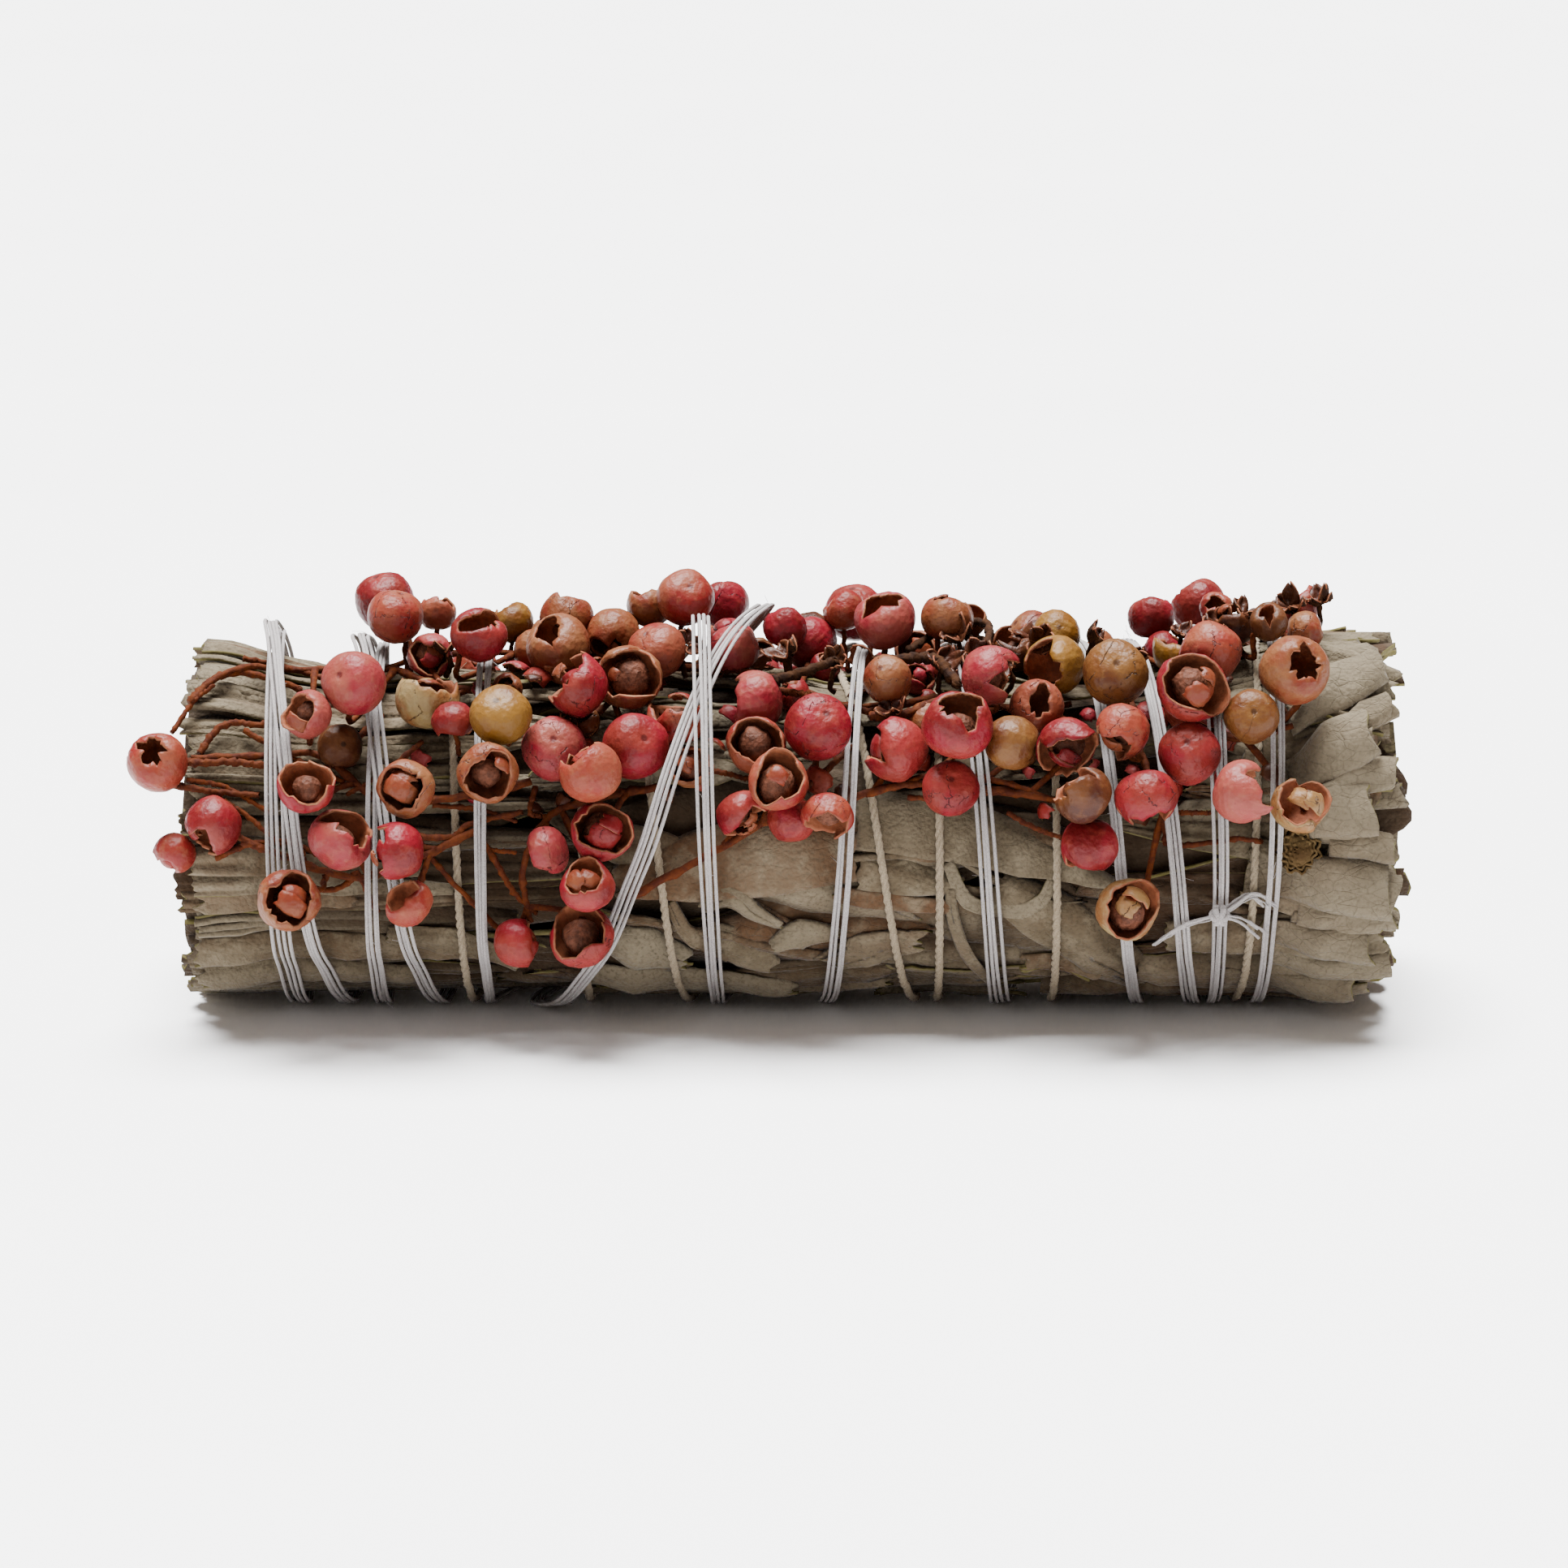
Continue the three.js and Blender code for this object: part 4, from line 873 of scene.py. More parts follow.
def crowned(half, crown, tilt, folds, depth, phase, rolls=(0.0, 0.0), drift=0.0):
    """A leaf's cross-section: arched, pleated lengthwise, and rolled up at its edges if it has rolls.

    It gives, for sides s from -1 to 1 and shares t of the length, how far aside and how far out.
    """
    def section(s, t):
        width = np.interp(t, *zip(*half))
        aside, out = s * width, crown * (1 - s * s) + tilt * s
        out = out + depth * np.sin(folds * math.pi * (s + drift * t) + phase) * np.minimum(1, width)
        for sign, radius in zip((-1, 1), rolls):
            if radius <= 0:
                continue
            flat = np.maximum(width - 4.4 * radius, width * 0.25)
            beyond = np.maximum(0, sign * s * width - flat)
            turn = beyond / radius
            tight = radius * (1 - 0.08 * turn)
            rolled = sign * (flat + tight * np.sin(turn))
            aside = np.where(beyond > 0, rolled, aside)
            out = out + np.where(beyond > 0, tight * (1 - np.cos(turn)), 0)
        return aside, out
    return section


def scrolled(radius, turns, start, sink):
    """The cross-section of a leaf rolled up into a loose tube."""
    def section(s, t):
        turn = start + (s + 1) / 2 * turns * 2 * math.pi
        reach = radius * (1 - 0.32 * (1 - (s + 1) / 2)) * (1 + 0.1 * np.sin(7 * t + 2 * turn))
        return reach * np.sin(turn) * 1.15, reach * (1 - np.cos(turn)) * 0.8 - sink
    return section


def add_leaf(heap, path, section, rows, columns, lift, slope, ends, wave, seed, thick, tint, swell, jag=5.0):
    """A leaf along a path of (place along, degrees round), with a cross-section.

    lift and slope say how high over the bunch it starts and how much it climbs, ends how ragged its
    two ends are, wave how rippled it is, swell how much it rises between the ties and jag how many
    teeth its ends have.
    """
    line = smooth_line([(x, a, 0) for x, a in path], 8)
    spots = np.linspace(0, len(line) - 1, rows)
    along = np.interp(spots, np.arange(len(line)), line[:, 0])[:, None]
    round_to = np.radians(np.interp(spots, np.arange(len(line)), line[:, 1]))[:, None]
    t, s = grid_shares(rows, columns)
    aside, out = section(s + 0 * t, t + 0 * s)
    teeth = teeth_along(s * jag, seed) + 0.4 * teeth_along(s * jag * 3, seed + 4)
    reach_x = np.gradient(along[:, 0])[:, None]
    heading = np.sign(reach_x.mean())
    x = along + heading * (ends[0] * (teeth - 0.5) * np.minimum(1, (1 - t) * 1.6) ** 3
                           + ends[1] * (teeth[:, ::-1] - 0.5) * np.minimum(1, t * 1.6) ** 3)
    run = np.gradient(round_to[:, 0])[:, None] * LEAF_REACH
    steep = run / np.maximum(np.hypot(run, reach_x), 1e-6)
    x = x - aside * steep * heading
    angle = round_to + aside * np.sqrt(1 - steep ** 2) / LEAF_REACH
    x = np.minimum(x, BUNCH_RIGHT - 0.2)
    out = out + lift + slope * t
    out = (out + wave * ripple(x, angle * LEAF_REACH, 0 * x, 1.7, seed)
           + 0.4 * wave * ripple(x, angle * LEAF_REACH * 1.3, 0 * x, 0.6, seed + 2))
    free = bulging(x, angle)
    high = np.maximum(out - 0.45, 0)
    out = out - high * (1 - free) + swell * free * 0.6
    reach = leaf_reach(x, angle) + out
    points = place(x, angle, np.minimum(reach, ground_reach(angle) - 0.25))
    run_along = lengths_along(points[:, columns // 2])
    # Its height over the bunch goes into lay, from which leaf_paint paints shade on low leaves and light on
    # high ones.
    lay = np.stack(np.broadcast_arrays(s, run_along[:, None], out), -1)
    add_sheet(heap, points, thick, LEAF_SLOTS, tint, lay)


# The rings of leaves of the solids: name, where a leaf starts, its length and how wide it is along it.
STALK_LENGTH = 40.0
MIDDLE_START = -21.0
TIP_START = 7.0
LEAF_RINGS = [
    ("stalk_end", BUNCH_LEFT, STALK_LENGTH, lambda t: 0.92 - 0.75 * smooth(0.45, 1, t)),
    ("middle", MIDDLE_START, LEAF_LENGTH,
     lambda t: 0.3 + 0.7 * np.sin(math.pi * np.minimum(1, t * 1.1)) ** 0.6),
    ("tip_end", TIP_START, BUNCH_RIGHT - TIP_START, lambda t: 0.3 + 0.65 * smooth(0, 0.45, t)),
]


BLADE_GRID = (42, 18)


def add_blade(heap, ring, column, seed, thick):
    """One leaf of the solids, folded lengthwise, rippled and cut ragged."""
    name, start, length, wide = ring
    t, s = grid_shares(*BLADE_GRID)
    middle = column * 2 * math.pi / LEAF_COLUMNS
    shift = 0 if name == "stalk_end" else 1.6 * math.sin(3 * middle)
    teeth = teeth_along(s * 3.5, seed) - 0.6
    first, last = name == "stalk_end", name == "tip_end"
    end = teeth * (-0.25 * first * (1 - t) ** 6 + 3.6 * last * t ** 6)
    span = s * LEAF_SHARE * wide(t) * (1 + 0.05 * np.sin(9 * t + seed * 3 + s))
    x = start + length * t + shift * (1 - t * last) - (not last) * 1.5 * s * s * np.maximum(0, t - 0.5) + end
    x = np.clip(x, BUNCH_LEFT, BUNCH_RIGHT - 0.3)
    angle = wavered(x, middle + span * 2 * math.pi / LEAF_COLUMNS)
    layer = STEP_ACROSS * (0.5 + span / (2 * LEAF_SHARE)) + STEP_ALONG * t
    folds = 0.26 * np.sin(span * 26 + 2.0 * np.sin(x / 9 + seed) + seed) * np.cos(span * 9 + seed)
    reach = leaf_reach(x, angle) - STEP_ACROSS - STEP_ALONG - 0.25 + layer + folds
    reach = reach + 0.16 * ripple(x, angle * LEAF_REACH, 0 * x, 1.4, seed)
    # Its height over the leaves, from which leaf_paint paints shade: these blades lie low, so they come out
    # darker.
    high = reach - leaf_reach(x, angle) - 0.15
    lay = np.stack(np.broadcast_arrays(s, length * t, high), -1)
    # Painted shade: the blades at the tip end are tinted darker, for the shade in the gaps between the rolled
    # leaves over them.
    tint = (0.2 + 0.6 * ((seed * 7.3) % 1)) * (0.4 if last else 1)
    add_sheet(heap, place(x, angle, reach), thick, LEAF_SLOTS, tint, lay)
    return f"sage_leaf_{name}_{column + 1}"


def degrees_at(pixel):
    """Place along and degrees round the bunch, as seen at a pixel."""
    x, angle, _ = place_of(seen_at(pixel, LEAF_REACH))
    return x, math.degrees(angle)


SEEN_MIDDLE_DEGREES = -28
SEEN_HALF_DEGREES = 48


def lower_in_front(degrees):
    """How much lower random leaves lie in front, under the leaves read from the photograph."""
    away = math.degrees(turn_between(math.radians(degrees - SEEN_MIDDLE_DEGREES), 0))
    return 0.75 * math.exp(-(away / SEEN_HALF_DEGREES) ** 4)


def add_ribbons(heap, random, count, thick):
    """The left third: narrow folded leaves and stalks, side by side."""
    for k in range(count):
        angle = 360 * (k + 0.6 * random()) / count
        start = BUNCH_LEFT + random.between(-0.2, 1.8)
        length = random.between(22, 38)
        drop = random.between(-9, 3)
        half = random.between(0.8, 2.1)
        path = [(start, angle), (start + length * 0.5, angle + drop * 0.4), (start + length, angle + drop)]
        widths = [(0, half), (0.5, half * 0.95), (0.85, half * 0.5), (1, 0.12)]
        tilt = random.between(-0.6, -0.25) if random() < 0.75 else random.between(0.1, 0.5)
        section = crowned(widths, crown=random.between(0.1, 0.55), tilt=tilt, folds=2 + int(3 * random()),
                          depth=random.between(0.1, 0.3), phase=6 * random())
        low = lower_in_front(angle)
        add_leaf(heap, path, section, rows=28, columns=11, lift=random.between(-0.35, 0.15) - low,
                 slope=-0.3, ends=(0.5, 0.2), wave=0.14, seed=1 + k * 0.37, thick=thick, tint=random(),
                 swell=0.5 - 0.4 * low)


def add_patches(heap, random, count, thick, low, high):
    """The middle: broad pieces, torn, pebbled and curled at the edges, lying over each other."""
    for k in range(count):
        angle = 360 * ((k * 0.618) % 1) + 12 * random()
        length = random.between(11, 24)
        start = random.between(low, high - length * 0.6)
        turn = random.between(-26, 26)
        half = random.between(1.6, 3.6)
        path = [(start, angle), (start + length * 0.5, angle + turn * 0.6), (start + length, angle + turn)]
        if random() < 0.3:
            path.reverse()
        widths = [(0, half * 0.2), (0.14, half * 0.75), (0.45, half), (0.8, half * 0.75), (1, 0.2)]
        rolls = (random.between(0.2, 0.45) if random() < 0.35 else 0,
                 random.between(0.2, 0.45) if random() < 0.35 else 0)
        tilt = random.between(-0.75, -0.3) if random() < 0.7 else random.between(0.2, 0.6)
        section = crowned(widths, crown=random.between(0.15, 0.6), tilt=tilt, folds=1 + int(3 * random()),
                          depth=random.between(0.05, 0.22), phase=6 * random(), rolls=rolls)
        drop = lower_in_front(angle)
        add_leaf(heap, path, section, rows=22, columns=13, lift=random.between(-0.35, 0.2) - drop,
                 slope=random.between(-0.3, 0.3), ends=(1.2, 1.6), wave=0.2, seed=3 + k * 0.41,
                 thick=thick, tint=random(), swell=0.5 - 0.4 * drop)


def add_rolls(heap, random, count, thick):
    """The right end: leaves rolled up or ruffled, with their tips at the end of the bunch."""
    for k in range(count):
        angle = 360 * (k + 0.7 * random()) / count
        length = random.between(12, 26)
        end = BUNCH_RIGHT - random.between(0.3, 5.5) - 2 * lower_in_front(angle)
        turn = random.between(-12, 12)
        path = [(end - length, angle - turn), (end - length * 0.4, angle - turn * 0.2), (end, angle)]
        rolled = k % 3 == 0
        half = random.between(2.0, 3.6)
        if rolled:
            section = scrolled(radius=random.between(1.0, 1.7), turns=random.between(1.0, 1.6),
                               start=random.between(0, 6), sink=1.4)
        else:
            widths = [(0, 0.2), (0.3, half * 0.6), (0.75, half), (1, half * 0.95)]
            section = crowned(widths, crown=random.between(0.1, 0.5), tilt=random.between(-0.5, 0.5),
                              folds=2 + int(3 * random()), depth=random.between(0.12, 0.3),
                              phase=6 * random(), rolls=(0, 0.35 if random() < 0.4 else 0),
                              drift=random.between(-0.6, 0.6))
        low = lower_in_front(angle)
        # Rolls that lie lower in front get a darker tint: painted shade under the leaves laid over them.
        add_leaf(heap, path, section, rows=26, columns=15, lift=random.between(-0.5, 0.3) - 1.2 * low,
                 slope=random.between(-0.2, 0.3), ends=(0.6, 1.0), wave=0.24, seed=7 + k * 0.53,
                 thick=thick, tint=random() * (1 - 1.1 * low), swell=0.8 - 0.8 * low)


# Leaves read from the photograph: their run as pixels, half widths in millimetres from end to end,
# how high they lie, their arch, tilt, pleats, pleat depth, tint, how ragged each end is and the
# radius of each rolled edge, where there is one.
SEEN_LEAVES = [
    ([(760, 1088), (860, 1068), (960, 1050), (1056, 1048)],
     (1.2, 2.9, 3.2, 2.4), 0.15, 0.5, -0.5, 1, 0.1, 0.1, (0.6, 0.4)),
    ([(1058, 1010), (1150, 1015), (1260, 1048), (1372, 1088)],
     (2.4, 2.9, 2.0, 0.3), 0.2, 0.7, -0.5, 1, 0.12, 0.55, (0.3, 0.2)),
    ([(1062, 1068), (1110, 1080), (1185, 1090)],
     (1.9, 1.6, 0.6), 0.0, 0.5, -0.3, 1, 0.1, 0.45, (0.3, 0.3)),
    ([(1168, 1062), (1192, 1108), (1240, 1120), (1285, 1108), (1298, 1082)],
     (0.5, 0.75, 0.8, 0.7, 0.3), 0.55, 0.5, 0.2, 1, 0.1, 0.8, (0.2, 0.2), (0.2, 0)),
    ([(955, 1158), (990, 1146), (1034, 1150)],
     (0.3, 1.3, 0.5), 0.3, 0.5, -0.3, 1, 0.05, 0.75, (0.3, 0.3)),
    ([(1026, 1180), (1080, 1160), (1140, 1150)],
     (1.4, 2.3, 1.6), 0.2, 0.4, -0.6, 1, 0.12, 0.65, (1.2, 1.2), (0, 0.3)),
    ([(752, 1152), (800, 1165), (850, 1180)],
     (1.0, 1.9, 1.0), 0.25, 0.5, -0.5, 1, 0.1, 0.95, (0.8, 0.8)),
    ([(1030, 1100), (1090, 1108), (1180, 1116)],
     (0.7, 0.75, 0.5), 0.35, 0.5, 0.0, 1, 0.05, 0.0, (0.3, 0.3)),
    ([(1172, 1092), (1178, 1130), (1196, 1170), (1226, 1206)],
     (0.5, 0.7, 0.8, 0.5), 0.5, 0.5, 0.3, 1, 0.1, 0.6, (0.2, 0.2), (0, 0.2)),
    ([(735, 1196), (860, 1204), (985, 1208)],
     (1.2, 1.6, 0.9), 0.2, 0.4, -0.5, 1, 0.1, 0.85, (0.8, 0.8)),
    ([(1228, 1092), (1300, 1130), (1372, 1176), (1412, 1204)],
     (1.4, 2.3, 2.2, 1.4), 0.15, 0.6, -0.6, 1, 0.12, 0.4, (0.4, 0.8)),
    ([(1262, 1180), (1310, 1184), (1352, 1190)],
     (0.8, 1.5, 0.8), 0.3, 0.5, -0.4, 2, 0.2, 0.2, (0.5, 0.9), (0.25, 0)),
    ([(872, 1118), (905, 1104), (935, 1120), (966, 1134)],
     (0.6, 1.1, 0.9, 0.4), 0.2, 0.4, 0.3, 2, 0.2, 0.55, (0.5, 0.5)),
    ([(880, 1150), (930, 1168), (960, 1180)],
     (1.1, 1.7, 0.7), 0.1, 0.4, -0.5, 1, 0.12, 0.5, (0.9, 0.7)),
    ([(826, 1110), (850, 1150), (900, 1176)],
     (0.5, 0.9, 0.4), 0.45, 0.5, -0.2, 1, 0.1, 0.3, (0.2, 0.2), (0.2, 0)),
    ([(1405, 1190), (1500, 1196), (1620, 1190), (1700, 1176)],
     (1.3, 2.4, 2.6, 2.2), 0.05, 0.4, -0.6, 2, 0.15, 0.75, (0.4, 1.4)),
    ([(1440, 1150), (1540, 1150), (1640, 1146), (1716, 1140)],
     (1.2, 1.8, 1.7, 1.6), 0.3, 0.3, -0.7, 2, 0.2, 0.6, (0.4, 1.0)),
    ([(1528, 1100), (1620, 1118), (1722, 1128)],
     (0.5, 0.8, 0.8), 0.6, 0.4, -0.2, 1, 0.1, 0.9, (0.2, 0.6), (0, 0.2)),
    ([(1545, 1040), (1600, 1062), (1660, 1072)],
     (0.7, 1.0, 0.9), 0.35, 0.4, -0.4, 1, 0.2, 0.5, (0.2, 0.6)),
    ([(1540, 960), (1562, 920), (1600, 885), (1648, 870)],
     (1.9, 2.4, 2.1, 1.2), 0.4, 0.4, 0.4, 1, 0.25, 0.35, (0.5, 1.2), (0, 0.3)),
    ([(1600, 952), (1640, 938), (1662, 930)],
     (1.8, 2.0, 1.8), 0.75, 0.3, -0.4, 1, 0.2, 0.45, (0.5, 1.6)),
    ([(1668, 966), (1684, 935), (1690, 905)],
     (0.9, 1.1, 0.8), 0.6, 0.4, 0.3, 1, 0.2, 0.0, (0.8, 0.8)),
    ([(1600, 852), (1660, 868), (1724, 880)],
     (1.2, 1.6, 0.7), 1.0, 0.3, 0.5, 2, 0.35, 0.7, (0.4, 0.8)),
    ([(1612, 890), (1660, 900), (1712, 912)],
     (1.0, 1.5, 1.2), 0.7, 0.3, -0.4, 3, 0.35, 0.6, (0.4, 1.0)),
    ([(250, 1102), (330, 1100), (440, 1104)],
     (1.0, 1.0, 0.5), 0.5, 0.2, -0.4, 1, 0.1, 0.2, (0.7, 0.2)),
    ([(244, 1052), (320, 1054), (420, 1066), (520, 1072)],
     (1.3, 1.4, 1.2, 0.4), 0.2, 0.4, -0.4, 2, 0.22, 0.3, (0.6, 0.2), (0, 0.2)),
    ([(244, 1082), (320, 1080), (420, 1084), (560, 1096)],
     (1.0, 1.1, 1.0, 0.3), 0.3, 0.4, -0.4, 2, 0.2, 0.7, (0.6, 0.2)),
    ([(248, 1134), (300, 1128), (380, 1134)],
     (0.7, 0.9, 0.4), 0.4, 0.2, -0.3, 3, 0.35, 0.6, (0.5, 0.2)),
    ([(250, 1165), (350, 1160), (480, 1164), (600, 1170)],
     (1.1, 1.3, 1.1, 0.4), 0.25, 0.4, -0.5, 1, 0.1, 0.35, (0.7, 0.2)),
    ([(256, 1196), (360, 1192), (520, 1198)],
     (1.1, 1.3, 0.7), 0.2, 0.4, -0.5, 1, 0.1, 0.65, (0.7, 0.2)),
    ([(480, 1148), (560, 1156), (640, 1180)],
     (0.6, 1.3, 0.5), 0.3, 0.5, -0.4, 2, 0.2, 0.5, (0.3, 0.2)),
]

# Rolled leaves at the right end: their run as pixels, radius, turns, where the roll opens, tint and
# height over the leaves.
SEEN_ROLLS = [
    ([(1540, 1078), (1620, 1086), (1726, 1090)], 2.1, 1.25, 2.2, 0.9, 1.2),
    ([(1580, 1010), (1640, 1008), (1702, 1002)], 2.0, 1.2, 2.6, 0.8, 1.3),
    ([(1640, 1036), (1690, 1042), (1728, 1044)], 1.1, 1.3, 2.0, 0.6, 0.9),
    ([(1596, 966), (1640, 946), (1700, 924)], 1.6, 1.2, 3.2, 0.8, 1.5),
    ([(1640, 978), (1680, 966), (1724, 962)], 1.0, 1.4, 2.6, 0.9, 1.2),
    ([(1560, 1146), (1640, 1150), (1696, 1148)], 1.4, 1.2, 2.4, 0.85, 1.1),
    ([(1600, 1120), (1660, 1122), (1728, 1122)], 0.9, 1.4, 2.8, 1.0, 1.1),
    ([(1500, 1198), (1600, 1202), (1690, 1190)], 1.4, 1.15, 2.8, 0.8, 0.8),
    ([(1560, 1172), (1640, 1176), (1718, 1168)], 0.9, 1.3, 2.2, 0.95, 1.0),
    ([(1590, 900), (1650, 886), (1704, 866)], 1.4, 1.2, 3.4, 0.8, 1.4),
    ([(1640, 930), (1680, 914), (1722, 900)], 0.9, 1.3, 3.0, 0.6, 1.4),
]


def add_seen_leaves(heap, thick):
    """The leaves and rolls read from the photograph, and the bud."""
    for k, (pixels, wide, lift, crown, tilt, folds, depth, tint, ends, *rolls) in enumerate(SEEN_LEAVES):
        path = [degrees_at(pixel) for pixel in pixels]
        widths = list(zip(np.linspace(0, 1, len(wide)), wide))
        section = crowned(widths, crown, tilt, folds, depth, k * 1.3, *rolls)
        add_leaf(heap, path, section, rows=36, columns=14, lift=lift, slope=0.0, ends=ends, wave=0.13,
                 seed=11 + k * 0.31, thick=thick, tint=tint, swell=0.7)
    for k, (pixels, radius, turns, start, tint, lift) in enumerate(SEEN_ROLLS):
        path = [degrees_at(pixel) for pixel in pixels]
        add_leaf(heap, path, scrolled(radius, turns, start, radius * 0.8), rows=28, columns=28, lift=lift,
                 slope=0.3, ends=(0.4, 1.3), wave=0.16, seed=31 + k, thick=thick, tint=tint, swell=0.6,
                 jag=2.5)
    add_bud(heap)


BUD_PIXEL = (1598, 1046)
BUD_RINGS = 5
PETAL_THICK = 0.2


def add_bud(heap):
    """A small rolled flower head: frilly rings one in another."""
    x, angle, _ = place_of(seen_at(BUD_PIXEL, LEAF_REACH + 1))
    centre = over_leaves(x, angle, 1.9)
    out, along = out_of(centre), PICTURE_RIGHT
    up = np.cross(out, along)
    add_seed(heap, centre - out * 0.75, 1.6, Numbers(5), STEM_SLOT)
    for ring in range(BUD_RINGS):
        size = 0.3 + 0.36 * ring
        turn = np.linspace(0, 2 * math.pi * 0.96, 42)[None, :] + ring
        share = np.linspace(0, 1, 5)[:, None]
        wavy = size * (1 + 0.13 * np.sin(turn * (7 + ring) + ring) * share)
        rise = (1.3 - 0.15 * ring) * share - 0.5 + 0.12 * np.sin(turn * (9 + ring)) * share
        points = (centre + (wavy * np.cos(turn))[..., None] * along + (wavy * np.sin(turn))[..., None] * up
                  + rise[..., None] * out)
        add_sheet(heap, points, PETAL_THICK, (STEM_SLOT,) * 3, 0.1 * ring)


# How far from the axis each ring of folds at a cut end lies, and its number of folds.
FOLD_RINGS = ((1.2, 2), (3.2, 4), (5.0, 6), (6.8, 8), (8.4, 10), (9.8, 12), (11.1, 14))
FOLD_THICK = 0.34
FOLD_GRID = (7, 12)
FOLD_DEPTH = 7
STEM_RINGS = (2.2, 5.9, 8.9)
STEMS = 9
STEM_DEPTH = 8


def add_end_folds(heap, random, at_right):
    """The cut face at one end: folded leaf ends and stems, packed in wavy rings."""
    outer = BUNCH_RIGHT - 0.6 if at_right else BUNCH_LEFT + 0.4
    inward = -1 if at_right else 1
    for reach, pieces in FOLD_RINGS:
        for k in range(pieces):
            centre = 2 * math.pi * (k + 0.5 * random()) / pieces
            spread = math.pi / pieces * random.between(0.9, 1.5)
            start = outer + inward * random.between(0.2, 3.2)
            u, v = grid_shares(*FOLD_GRID)
            teeth = 0.5 * teeth_along(v * 5, k + reach)
            x = start + inward * (u * FOLD_DEPTH + teeth * (1 - u) ** 2)
            curl = random.between(0.3, 0.9)
            out = reach + curl * np.sin(v * random.between(2.5, 6) + 6 * random()) + 0.3 * v
            angle = centre + spread * v
            points = place(x, angle, np.minimum(out, leaf_reach(x, angle) - 1.6) + 0 * u)
            if not at_right:
                points = points[:, ::-1]
            add_sheet(heap, points, FOLD_THICK, LEAF_SLOTS, random())
    for k in range(STEMS):
        angle, reach = 6.28 * (k + 0.5 * random()) / STEMS, STEM_RINGS[k % len(STEM_RINGS)]
        stem_end = outer + inward * random.between(-0.1, 1.6)
        radius = random.between(0.5, 1.1)
        line = [place(stem_end + inward * STEM_DEPTH * q, angle + 0.03 * q, reach)
                for q in np.linspace(0, 1, 6)]
        add_rod(heap, line, radius, 12, STEM_SLOT, tint=random(), bumps=0.1, seed=k)


# Berries, twigs and ties

# The colours of each kind of husk, as a screen shows them.
HUSK_PARTS = ("skin", "deep", "pale")
HUSK_COLOURS = {
    "rose": ((178, 46, 62), (146, 28, 44), (198, 92, 78)),
    "pink": ((198, 84, 86), (180, 52, 66), (214, 132, 110)),
    "salmon": ((188, 90, 72), (174, 58, 56), (206, 132, 100)),
    "tan": ((172, 102, 70), (160, 72, 54), (198, 144, 102)),
    "olive": ((150, 96, 56), (120, 66, 36), (182, 132, 80)),
    "cream": ((200, 168, 116), (184, 124, 80), (218, 196, 150)),
    "gold": ((174, 118, 54), (146, 88, 38), (196, 150, 86)),
    "brown": ((122, 70, 44), (88, 44, 30), (156, 102, 64)),
}
HUSK_SLOTS = list(HUSK_COLOURS)
INSIDE, RIM, SEED, TWIG, DARK_TWIG = range(len(HUSK_SLOTS), len(HUSK_SLOTS) + 5)


def scatter(random, size):
    """A random shift, at most half this size each way."""
    return size * np.array([random() - 0.5, random() - 0.5, random() - 0.5])


def torn_rim(random, middle, spacing):
    """The corners of a torn rim, as turns round the husk and how far up its skin reaches there."""
    bites = [(random() * 2 * math.pi, random.between(0.2, 0.5), random.between(0.25, 0.75))
             for _ in range(1 + int(2.5 * random()))]
    tongues = [(random() * 2 * math.pi, random.between(0.14, 0.3), -random.between(0.2, 0.6))
               for _ in range(int(2.5 * random()))]
    turns, heights, turn = [], [], random() * 0.3
    while turn < 2 * math.pi - 0.1:
        height = middle + random.between(-0.13, 0.13)
        for where, wide, deep in bites + tongues:
            height -= deep * math.exp(-(turn_between(turn, where) / wide) ** 2)
        turns.append(turn)
        heights.append(height)
        turn += spacing * random.between(0.08, 0.42)
    return turns, heights


# Husks over LARGE_HUSK in radius have more faces, those over THICK_HUSK a thicker wall.
LARGE_HUSK = 2.1
THICK_HUSK = 1.5
HUSK_WALL = 0.19
THIN_HUSK_WALL = 0.14
FLAKE_THICK = 0.16
CUP_THICK = 0.14
CUP_LOBES = 5
CUP_TWIG_RADIUS = 0.22


